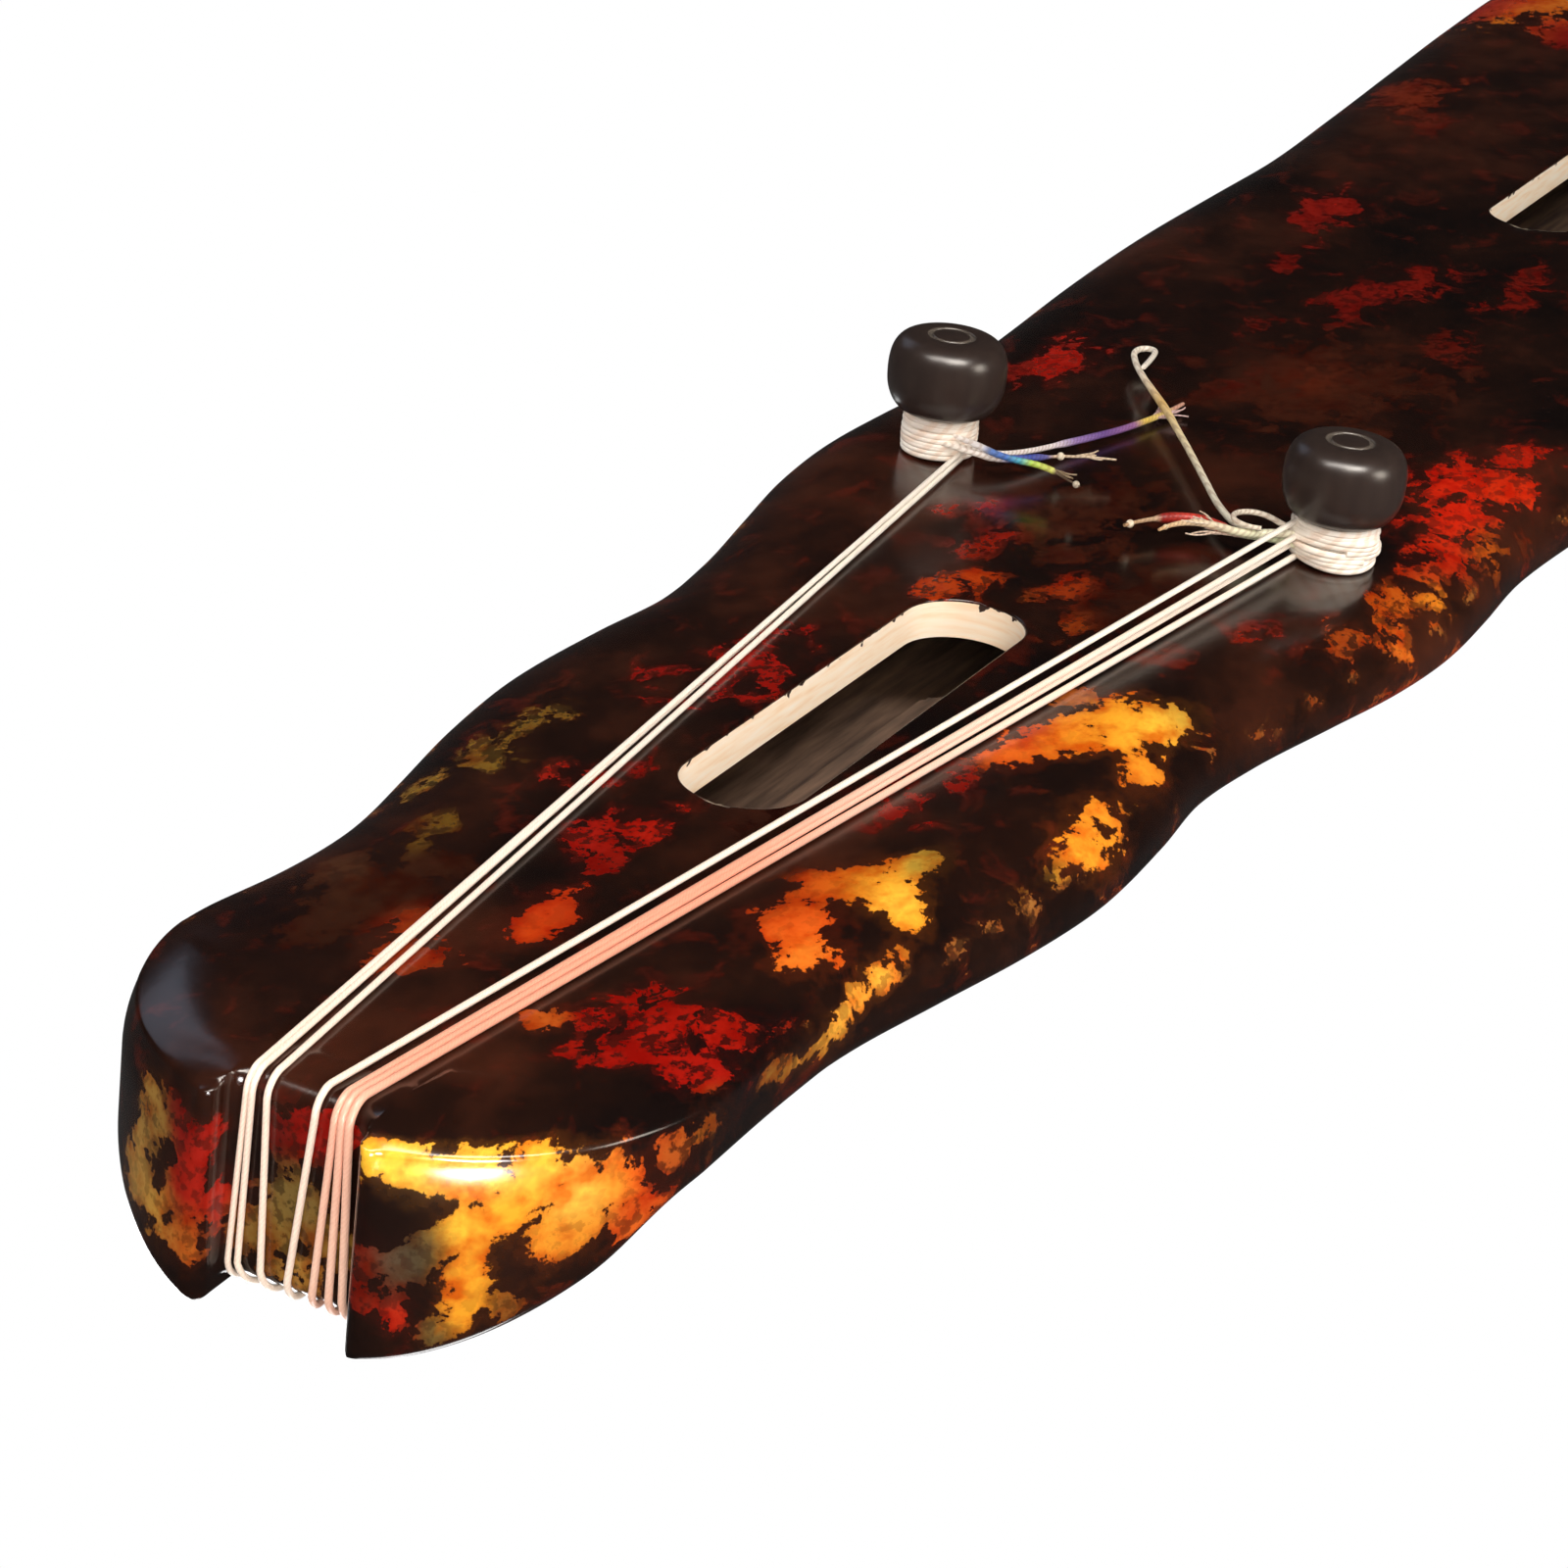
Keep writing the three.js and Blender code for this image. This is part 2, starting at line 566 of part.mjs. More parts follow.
// Bottom board: flat underside with rounded edges, two sound slots, sockets and the peg pool
const bottomOuter = slab(allStations, 16, planSpan, lowSurface, () => seam);
const slotCutters = [[phoenixPond, pondStation], [dragonPool, poolStation]].map(
  ([slot, middle]) => roundSlot(slot, middle, underside - overrun, seam + overrun),
);
const socketHalf = foot.tenon / 2 + gap;
const sockets = [-1, 1].map((side) => boxBetween(
  [footStation - socketHalf, side * foot.half - socketHalf, underside - overrun],
  [footStation + socketHalf, side * foot.half + socketHalf, seam + overrun],
));
const poolHalf = pool.length / 2;
const poolCutter = boxBetween(
  [pegStation - poolHalf, -pool.half, underside - overrun],
  [pegStation + poolHalf, pool.half, seam + overrun],
);
const channelCutter = boxBetween(
  [-overrun, -tail.channelHalf, underside - overrun],
  [tail.endFace + tail.gumLength + gap, tail.channelHalf, seam + overrun],
);
addPiece(
  'bottom_board',
  cut(bottomOuter, [...slotCutters, ...sockets, poolCutter, channelCutter]),
  lacquer,
);

// Tail lobes: the round end above the seam, split by the string channel
const lobeStations = [...tailStations, ...evenStations(tailCentre, tailCentre + gap, 1)]
  .filter((station) => station < tail.crownLength);
const lobeBlank = slab([...lobeStations, tail.crownLength], 18, planSpan, () => topSeam, lobeSurface);
function lobeOn(side) {
  const inner = side * tail.channelHalf;
  const outer = side * farOut;
  const keep = boxBetween(
    [-overrun, Math.min(inner, outer), topSeam - overrun],
    [tail.crownLength + overrun, Math.max(inner, outer), underside + 2 * thickness.tail],
  );
  return toGeometry(toSolid(lobeBlank).intersect(toSolid(keep)));
}
addPiece('tail_crown_left', lobeOn(1), lacquer);
addPiece('tail_crown_right', lobeOn(-1), lacquer);

// Nut on top of the channel and gum below it. Each has a rounded outer edge for the strings.
function lipped(zLow, zHigh, length, roundTop) {
  const radius = tail.lipRadius;
  const shape = new THREE.Shape();
  if (roundTop) {
    shape.moveTo(0, zLow);
    shape.lineTo(length, zLow);
    shape.lineTo(length, zHigh);
    shape.lineTo(radius, zHigh);
    shape.absarc(radius, zHigh - radius, radius, Math.PI / 2, Math.PI, false);
  } else {
    shape.moveTo(length, zLow);
    shape.lineTo(length, zHigh);
    shape.lineTo(0, zHigh);
    shape.lineTo(0, zLow + radius);
    shape.absarc(radius, zLow + radius, radius, Math.PI, 1.5 * Math.PI, false);
  }
  const width = 2 * (channelWall - gap);
  const solid = new THREE.ExtrudeGeometry(shape, { depth: width, bevelEnabled: false, curveSegments: 6 });
  solid.rotateX(Math.PI / 2);
  solid.translate(toX(tail.endFace), width / 2, 0);
  return solid;
}
const nutTop = underside + tail.nutHeight;
addPiece('tail_nut', lipped(topSeam, nutTop, tail.nutLength, true), rosewood);
addPiece('lower_tail_gum', lipped(underside, seam, tail.gumLength, false), rosewood);

// Bridge, and the dew collector beside it with a hole for each peg cord
addPiece('bridge', slab(bridgeStations, 14, fittingSpan, bridgeLow, bridgeHigh), rosewood);
const collectorFace = (station, y) => topSurface(station, y) + collector.proud;
const collectorBlank = slab(
  evenStations(collectorStation, collectorEnd, 2),
  14,
  fittingSpan,
  (station, y) => topSurface(station, y) - collector.depth,
  collectorFace,
);
const collectorHoles = pegYs.map((y) => post(
  pegStation, y, collector.holeRadius, seam, topSurface(pegStation, 0) + overrun, 8,
));
addPiece('dew_collector', cut(collectorBlank, collectorHoles), rosewood);

for (const each of studs) {
  addPiece(each.name, disc(each.station, each.y, each.radius, 12, studFloor, studFace), pearl);
}

// Sound posts between the boards. Their tops follow the inside of the top board.
function fitUnderRoof(blank) {
  const room = toSolid(hollow).translate([0, 0, -gap]);
  return toGeometry(toSolid(blank).intersect(room));
}
const postTop = underside + thickness.shoulder;
addPiece(
  'heaven_pillar',
  fitUnderRoof(post(heavenStation, 0, heavenPillar.size / 2, seam, postTop, 16)),
  rawWood,
);
const earthHalf = earthPillar.size / 2;
addPiece(
  'earth_pillar',
  fitUnderRoof(boxBetween(
    [earthStation - earthHalf, -earthHalf, seam],
    [earthStation + earthHalf, earthHalf, postTop],
  )),
  rawWood,
);

// Peg pool plate, with a bore for each cord, and the turning pegs below it
const plateLow = seam - pool.plate;
const plateBlank = boxBetween(
  [pegStation - poolHalf + gap, -pool.half + gap, plateLow],
  [pegStation + poolHalf - gap, pool.half - gap, seam],
);
const plateHoles = pegYs.map((y) => post(
  pegStation, y, collector.boreRadius, plateLow - overrun, seam + overrun, 8,
));
addPiece('peg_pool_plate', cut(plateBlank, plateHoles), rosewood);

const pegTop = plateLow - gap;
const pegProfile = [
  [0, -peg.boreDepth], [peg.boreRadius, -peg.boreDepth], [peg.boreRadius, 0],
  ...pegShares.map(([across, down]) => [across * peg.radius, -down * peg.length]),
  [0, -peg.length],
];
pegYs.forEach((y, i) => {
  const turnedPeg = turned([...pegProfile].reverse(), 10);
  turnedPeg.translate(toX(pegStation), y, pegTop);
  addPiece(`tuning_peg_${i + 1}`, turnedPeg, rosewood);
});

// Knots of the strings lie on the dew collector. Each cord rises from its peg to a knot.
const knotStation = collectorStation + knot.radius + gap;
const knotHeight = (y) => collectorFace(knotStation, y) + knot.radius * knot.flat + gap;
const cordRadius = pegCord.diameter / 2;
pegYs.forEach((y, i) => {
  const faceLevel = collectorFace(pegStation, y);
  const rise = faceLevel + cordRadius + gap;
  const turn = collector.holeRadius - cordRadius;
  const reach = knotStation + knot.radius + gap;
  const level = knotHeight(y);
  const points = [
    [pegStation, pegTop - peg.boreDepth + gap + cordRadius],
    [pegStation, faceLevel - pegCord.diameter],
    [pegStation - 0.25 * turn, rise - 0.35 * pegCord.diameter],
    [pegStation - turn, rise + 0.1 * pegCord.diameter],
    [pegStation - 2.5 * turn, rise + 0.25 * pegCord.diameter],
    [reach + cordRadius, level],
    [reach, level],
  ].map(([station, z]) => new THREE.Vector3(toX(station), y, z));
  addPiece(`peg_cord_${i + 1}`, tube(points, cordRadius, 8), silkCord);
});

// Strings: a knot, over the bridge, the nut and the tail end, along the underside and round a foot
function arcPoints(centre, radius, fromAngle, toAngle, yFrom, yTo, count) {
  return Array.from({ length: count + 1 }, (_, i) => {
    const share = i / count;
    const angle = lerp(fromAngle, toAngle, share);
    return new THREE.Vector3(
      toX(centre[0] + radius * Math.cos(angle)),
      lerp(yFrom, yTo, share),
      centre[1] + radius * Math.sin(angle),
    );
  });
}

const innerLayer = foot.neckRadius + gap + string.diameters[0] / 2;
const layerStep = string.diameters[0] + gap;
function windingPoints(start, plan, diameter) {
  const radius = innerLayer + plan.layer * layerStep;
  const towards = new THREE.Vector2(start.x - toX(footStation), plan.side * start.y - foot.half);
  const first = Math.atan2(towards.y, towards.x) + Math.acos(radius / towards.length()) - 2 * Math.PI;
  const sweep = Math.PI - first + 2 * Math.PI * (plan.turns - 1);
  const steps = Math.round((sweep / (2 * Math.PI)) * winding.steps);
  const rowPitch = diameter + looseGap;
  return Array.from({ length: steps + 1 }, (_, i) => {
    const angle = first + (sweep * i) / steps;
    const turn = (sweep * i) / steps / (2 * Math.PI);
    return new THREE.Vector3(
      toX(footStation) + radius * Math.cos(angle),
      plan.side * (foot.half + radius * Math.sin(angle)),
      underside - plan.startShare * foot.neckLength - plan.way * turn * rowPitch,
    );
  });
}

// The least distance between stretches of one tube that lie apart along it, less its thickness
function leastSelfGap(points, diameter) {
  let least = Infinity;
  for (let i = 0; i < points.length; i += 1) {
    let along = 0;
    for (let j = i + 1; j < points.length; j += 1) {
      along += points[j].distanceTo(points[j - 1]);
      if (along > 4 * diameter) least = Math.min(least, points[i].distanceTo(points[j]) - diameter);
    }
  }
  return least;
}

function stringPath(i) {
  const diameter = string.diameters[i];
  const radius = diameter / 2;
  const yBridge = pegYs[i];
  const [yNut, yLip, yRim] = [nutShares, lipShares, rimShares].map((shares) => shares[i] * tail.channelHalf);
  const clear = radius + gap;
  const crest = crestHeight(yBridge);
  const back = bridgeStation + bridge.thickness;
  const level = knotHeight(yBridge);
  const overBridge = [
    [knotStation, level],
    [back + clear, level + knot.radius],
    [back + clear, crest - bridge.soften - 0.2 * clear],
    [back + 0.65 * clear, crest - bridge.soften + 0.76 * clear],
    [bridgeStation + 0.82 * bridge.thickness + 0.3 * clear, crest + clear],
    [bridgeStation + 0.18 * bridge.thickness, crest + clear],
  ].map(([station, z]) => new THREE.Vector3(toX(station), yBridge, z));
  const ride = tail.lipRadius + gap + radius;
  const nutCentre = [tail.endFace + tail.lipRadius, nutTop - tail.lipRadius];
  const gumCentre = [tail.endFace + tail.lipRadius, underside + tail.lipRadius];
  const upper = arcPoints(nutCentre, ride, Math.PI / 2, Math.PI, yNut, yLip, 4);
  const lower = arcPoints(gumCentre, ride, Math.PI, 1.5 * Math.PI, yRim, yRim, 4);
  const wound = windingPoints(lower[lower.length - 1], windings[i], diameter);
  return [...overBridge, ...upper, ...lower, ...wound];
}

let leastGap = Infinity;
for (let i = 0; i < stringCount; i += 1) {
  const diameter = string.diameters[i];
  const path = stringPath(i);
  leastGap = Math.min(leastGap, leastSelfGap(path, diameter));
  const bead = new THREE.SphereGeometry(knot.radius, 8, 6);
  bead.scale(1, 1, knot.flat);
  bead.translate(path[0].x, path[0].y, path[0].z);
  const line = tube(path, diameter / 2, winding.sides);
  addPiece(`string_${i + 1}`, join([bead, line]), i < pinkStrings ? pinkString : whiteString);
}
console.log(`least gap of a wound string to itself: ${leastGap.toFixed(2)} mm`);

// Goose feet: a square tenon in the board, a neck for the windings and a turned knob
const knobFrom = underside - foot.neckLength;
const neckTop = underside + foot.tenonLength / 2;
const footProfile = [
  [0, neckTop], [foot.neckRadius, neckTop], [foot.neckRadius, knobFrom],
  ...knobShares.map(([across, up]) => [across * foot.knobRadius, up * knobFrom]),
  [foot.ringOuter, 0], [foot.ringOuter, foot.ringDepth], [foot.ringInner, foot.ringDepth],
  [foot.ringInner, 0], [0, 0],
];
for (const side of [1, -1]) {
  const knob = turned([...footProfile].reverse(), 16);
  knob.translate(toX(footStation), side * foot.half, 0);
  const half = foot.tenon / 2;
  const tenon = boxBetween(
    [footStation - half, side * foot.half - half, underside],
    [footStation + half, side * foot.half + half, underside + foot.tenonLength],
  );
  addPiece(side > 0 ? 'goose_foot_left' : 'goose_foot_right', join([knob, tenon]), blackHorn);
}

// Peg guards stand beside the pegs and reach the table, as the feet do
for (const side of [1, -1]) {
  const shape = new THREE.Shape();
  const top = guard.topLength / 2;
  const low = guard.footLength / 2;
  shape.moveTo(-top, underside);
  shape.lineTo(-top, underside - guard.cornerRadius);
  shape.lineTo(-low - guard.cornerRadius / 2, guard.cornerRadius);
  shape.quadraticCurveTo(-low - guard.cornerRadius / 4, 0, -low + guard.cornerRadius / 2, 0);
  shape.lineTo(low - guard.cornerRadius / 2, 0);
  shape.quadraticCurveTo(low + guard.cornerRadius / 4, 0, low + guard.cornerRadius / 2, guard.cornerRadius);
  shape.lineTo(top, underside - guard.cornerRadius);
  shape.lineTo(top, underside);
  const slabGuard = new THREE.ExtrudeGeometry(shape, {
    depth: guard.thickness, bevelEnabled: false, curveSegments: 4,
  });
  slabGuard.rotateX(Math.PI / 2);
  const inner = pool.half + guard.offset;
  const yFace = side > 0 ? inner + guard.thickness : -inner;
  slabGuard.translate(toX(pegStation), yFace, 0);
  addPiece(side > 0 ? 'peg_guard_left' : 'peg_guard_right', slabGuard, rosewood);
}

// Loose string ends beyond the windings
const endSides = 8;
function ringShape(radius, sides) {
  const shape = new THREE.Shape();
  shape.setFromPoints(Array.from({ length: sides }, (_, i) => {
    const angle = (2 * Math.PI * i) / sides;
    return new THREE.Vector2(radius * Math.cos(angle), radius * Math.sin(angle));
  }));
  return shape;
}
endRoutes.forEach((route, i) => {
  const diameter = string.diameters[i];
  const root = new THREE.Vector3(toX(footStation), windings[i].side * foot.half, underside);
  const curve = new THREE.CatmullRomCurve3(route.map((point) => new THREE.Vector3(...point).add(root)));
  const steps = Math.ceil(curve.getLength() / (3 * diameter));
  const end = new THREE.ExtrudeGeometry(ringShape(diameter / 2, endSides), {
    steps, bevelEnabled: false, extrudePath: curve,
  });
  addPiece(`string_end_${i + 1}`, end, i < pinkStrings ? pinkString : whiteString);
});

export default group;
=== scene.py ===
import math

import bpy
import numpy as np
from mathutils import Matrix, Vector


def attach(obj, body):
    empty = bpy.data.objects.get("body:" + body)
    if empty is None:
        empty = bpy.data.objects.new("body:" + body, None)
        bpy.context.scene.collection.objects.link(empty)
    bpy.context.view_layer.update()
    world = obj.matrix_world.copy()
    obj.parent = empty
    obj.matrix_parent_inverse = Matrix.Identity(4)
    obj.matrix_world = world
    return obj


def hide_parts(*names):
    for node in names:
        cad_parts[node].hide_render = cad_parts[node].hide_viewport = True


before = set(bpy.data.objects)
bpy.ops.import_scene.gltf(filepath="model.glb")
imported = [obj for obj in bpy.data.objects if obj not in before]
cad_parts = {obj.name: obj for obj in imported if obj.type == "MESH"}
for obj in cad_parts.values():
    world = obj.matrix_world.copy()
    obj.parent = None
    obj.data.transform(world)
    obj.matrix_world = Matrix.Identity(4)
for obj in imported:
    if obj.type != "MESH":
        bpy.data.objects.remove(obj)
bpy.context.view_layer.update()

# The view of the photograph. The instrument lies there on its face, so the underside is
# uppermost and the tail end is nearest. In the playing position that this model keeps, with
# its feet on the floor, the same view is taken from below.
MM = 0.001
view_target = Vector((-448.55, 6.72, 27.3)) * MM
view_distance = 850 * MM
view_azimuth = math.radians(24.11)
view_depression = math.radians(24.36)
view_roll = math.radians(6.73)
lens_length = 105.46
sensor_width = 36
far_clip = 50

view_back = Vector((
    -math.cos(view_azimuth) * math.cos(view_depression),
    math.sin(view_azimuth) * math.cos(view_depression),
    -math.sin(view_depression),
))
level_right = Vector((0, 0, -1)).cross(view_back).normalized()
level_up = view_back.cross(level_right)
view_right = math.cos(view_roll) * level_right + math.sin(view_roll) * level_up
view_up = math.cos(view_roll) * level_up - math.sin(view_roll) * level_right
camera_data = bpy.data.cameras.new("photo_camera")
camera_data.lens = lens_length
camera_data.sensor_width = sensor_width
camera_data.clip_end = far_clip
camera = bpy.data.objects.new("photo_camera", camera_data)
camera.matrix_world = Matrix.Translation(view_target + view_distance * view_back) @ Matrix(
    (view_right, view_up, view_back)
).transposed().to_4x4()
bpy.context.scene.collection.objects.link(camera)
bpy.context.scene.camera = camera
bpy.context.scene.view_settings.view_transform = "Standard"


# Loose string ends. Each string is a core wound with silk, and its end stands out stiffly from
# the foot where the winding stops. The ends are whipped with coloured thread against fraying,
# and some have a small bead of glue or a few loose strands at the tip.
# Points of neighbouring grids that fall in one cell of this size become one
weld = 0.0173 * MM


def srgb(code):
    """The linear colour of a hex sRGB code: each channel is undone from the sRGB curve."""
    channels = np.array([int(code[i:i + 2], 16) for i in (1, 3, 5)]) / 255
    low = channels / 12.92
    high = ((channels + 0.055) / 1.055) ** 2.4
    return (*np.where(channels <= 0.04045, low, high), 1.0)


def add_node(material, kind, links=(), values=(), stops=(), **settings):
    """A shader node with its links and values by socket, its settings, and colour stops of
    (place, hex code), of which the first two are the lowest and the highest."""
    node = material.node_tree.nodes.new("ShaderNode" + kind)
    for name, value in settings.items():
        setattr(node, name, value)
    for socket, value in dict(values).items():
        node.inputs[socket].default_value = value
    for number, (place, code) in enumerate(stops):
        if number < 2:
            stop = node.color_ramp.elements[number]
            stop.position = place
        else:
            stop = node.color_ramp.elements.new(place)
        stop.color = srgb(code)
    for socket, output in dict(links).items():
        material.node_tree.links.new(output, node.inputs[socket])
    return node


def new_material(name, values):
    """A material of one Principled shader, with the values that are the same all over."""
    material = bpy.data.materials.new(name)
    material.use_nodes = True
    principled = material.node_tree.nodes["Principled BSDF"]
    for socket, value in values.items():
        principled.inputs[socket].default_value = value
    return material, principled


def feed(shader, outputs):
    """Links other nodes' outputs to a shader's sockets by name."""
    for socket, output in outputs.items():
        shader.id_data.links.new(output, shader.inputs[socket])


def add_mesh(name, grids, materials, crease=40):
    """One mesh in mm from grids of (points, material index, flip). Points in rows and columns
    become faces, and points of different grids that meet become one."""
    vertices = np.concatenate([points.reshape(-1, 3) for points, _, _ in grids]) * MM
    quads, indices, shift = [], [], 0
    for points, index, flip in grids:
        number = shift + np.arange(points[..., 0].size).reshape(points.shape[:2])
        corners = [number[:-1, :-1], number[1:, :-1], number[1:, 1:], number[:-1, 1:]]
        quad = np.stack(corners, axis=-1).reshape(-1, 4)
        quads.append(quad[:, ::-1] if flip else quad)
        indices.append(np.full(len(quad), index))
        shift += number.size
    keys = np.round(vertices / weld).astype(np.int64)
    _, first, inverse = np.unique(keys, axis=0, return_index=True, return_inverse=True)
    quads = inverse.reshape(-1)[np.concatenate(quads)]
    kept = quads != np.roll(quads, -1, axis=1)
    whole = kept.sum(axis=1) >= 3
    quads, kept, indices = quads[whole], kept[whole], np.concatenate(indices)[whole]
    sides = kept.sum(axis=1)
    mesh = bpy.data.meshes.new(name)
    mesh.vertices.add(len(first))
    mesh.vertices.foreach_set("co", vertices[first].ravel())
    mesh.loops.add(int(sides.sum()))
    mesh.loops.foreach_set("vertex_index", quads[kept].astype(np.int32))
    mesh.polygons.add(len(sides))
    mesh.polygons.foreach_set("loop_start", (np.cumsum(sides) - sides).astype(np.int32))
    for material in materials:
        mesh.materials.append(material)
    mesh.polygons.foreach_set("material_index", indices.astype(np.int32))
    mesh.polygons.foreach_set("use_smooth", np.ones(len(sides), dtype=bool))
    mesh.update(calc_edges=True)
    mesh.validate()
    mesh.set_sharp_from_angle(angle=math.radians(crease))
    piece = bpy.data.objects.new(name, mesh)
    bpy.context.scene.collection.objects.link(piece)
    return piece


def smooth_path(points, per_span):
    """A Catmull-Rom curve through the points, each span cut into equal steps of its parameter."""
    points = np.asarray(points, dtype=float)
    ends = np.concatenate([[2 * points[0] - points[1]], points, [2 * points[-1] - points[-2]]])
    before, here, there, after = (ends[i:len(ends) - 3 + i, None, :] for i in range(4))
    t = (np.arange(per_span) / per_span)[None, :, None]
    cubic = 0.5 * (
        2 * here
        + (there - before) * t
        + (2 * before - 5 * here + 4 * there - after) * t**2
        + (3 * here - before - 3 * there + after) * t**3
    )
    return np.concatenate([cubic.reshape(-1, points.shape[1]), points[-1:]])


def along(path):
    """How far each point of a path lies along it."""
    steps = np.linalg.norm(np.diff(path, axis=0), axis=1)
    return np.concatenate([[0], np.cumsum(steps)])


def tube_grid(path, radius, reference=(0, 0, 1), sides=16):
    """A round tube's skin: rings square to the path, set out from the cross product of a
    reference direction and the path, and closed at both ends by a ring of no size."""
    tangent = np.gradient(path, axis=0)
    tangent /= np.linalg.norm(tangent, axis=1)[:, None]
    side = np.cross(np.broadcast_to(np.asarray(reference, dtype=float), path.shape), tangent)
    side /= np.linalg.norm(side, axis=1)[:, None]
    other = np.cross(side, tangent)
    radius = np.broadcast_to(radius, len(path))[:, None, None]
    angle = np.linspace(0, 2 * np.pi, sides + 1)[None, :, None]
    rings = path[:, None] + radius * (
        np.cos(angle) * side[:, None] + np.sin(angle) * other[:, None]
    )
    caps = [np.broadcast_to(path[i], rings[:1].shape) for i in (0, -1)]
    return np.concatenate([caps[0], rings, caps[1]])


def vertex_places(piece):
    """The places of a piece's vertices in mm, as rows of three."""
    places = np.empty(len(piece.data.vertices) * 3)
    piece.data.vertices.foreach_get("co", places)
    return places.reshape(-1, 3) / MM


def colour_by_length(piece, path, stops):
    """Gives each vertex the colour of its nearest path point, where the colours along the path
    run between stops of (share of the length, hex code)."""
    shares = along(path) / along(path)[-1]
    places = [stop[0] for stop in stops]
    colours = np.array([srgb(stop[1]) for stop in stops])
    ramp = np.stack([np.interp(shares, places, colours[:, c]) for c in range(4)], axis=1)
    gaps = np.linalg.norm(vertex_places(piece)[:, None] - path[None], axis=2)
    attribute = piece.data.attributes.new("thread_colour", "FLOAT_COLOR", "POINT")
    attribute.data.foreach_set("color", ramp[gaps.argmin(axis=1)].ravel())


# A wave texture of scale 1 has its bands this far apart
wave_band = 0.314


def silk_thread(name, pitch, groove_shade_code, roughness):
    """Silk wound tight: a soft low sheen, in the colours of the thread_colour attribute, which
    painted shade darkens a little in the grooves between the slanting turns."""
    material, principled = new_material(name, {"Roughness": roughness, "IOR": 1.45})
    colour = add_node(material, "Attribute", attribute_name="thread_colour")
    place = add_node(material, "TexCoord")
    turns = add_node(
        material, "TexWave", {"Vector": place.outputs["Object"]},
        {"Scale": wave_band / (pitch * MM), "Distortion": 2.0, "Detail": 2.0},
        bands_direction="DIAGONAL",
    )
    # Painted shade: the colour is multiplied darker in the grooves between the turns
    between = add_node(
        material, "ValToRGB", {"Fac": turns.outputs["Fac"]},
        stops=[(0.1, groove_shade_code), (0.6, "#ffffff")],
    )
    shade = add_node(
        material, "Mix", {6: colour.outputs["Color"], 7: between.outputs["Color"]}, {0: 1.0},
        data_type="RGBA", blend_type="MULTIPLY",
    )
    bump = add_node(
        material, "Bump", {"Height": turns.outputs["Fac"]},
        {"Strength": 0.25, "Distance": 0.1 * MM},
    )
    feed(principled, {"Base Color": shade.outputs[2], "Normal": bump.outputs["Normal"]})
    return material


# The real thread is too fine to show, so its turns are drawn 0.8 mm apart. The silk looks soft
# and a little fuzzy, and each thread has its own dye.
whipped_silk = silk_thread(
    "silk_whipped_string_end", pitch=0.8, groove_shade_code="#e4ddd8", roughness=0.45,
)
board_length = 1222.0
underside = 27.3
string_diameters = [1.2, 1.15, 1.1, 1.05, 1.0, 0.95, 0.9]
foot_share, foot_side = 0.2815, 47.0
foot_place = (foot_share * board_length - board_length / 2, foot_side)
end_sides = [1, 1, 1, 1, -1, -1, -1]
end_growth, end_steps = 1.3, 8
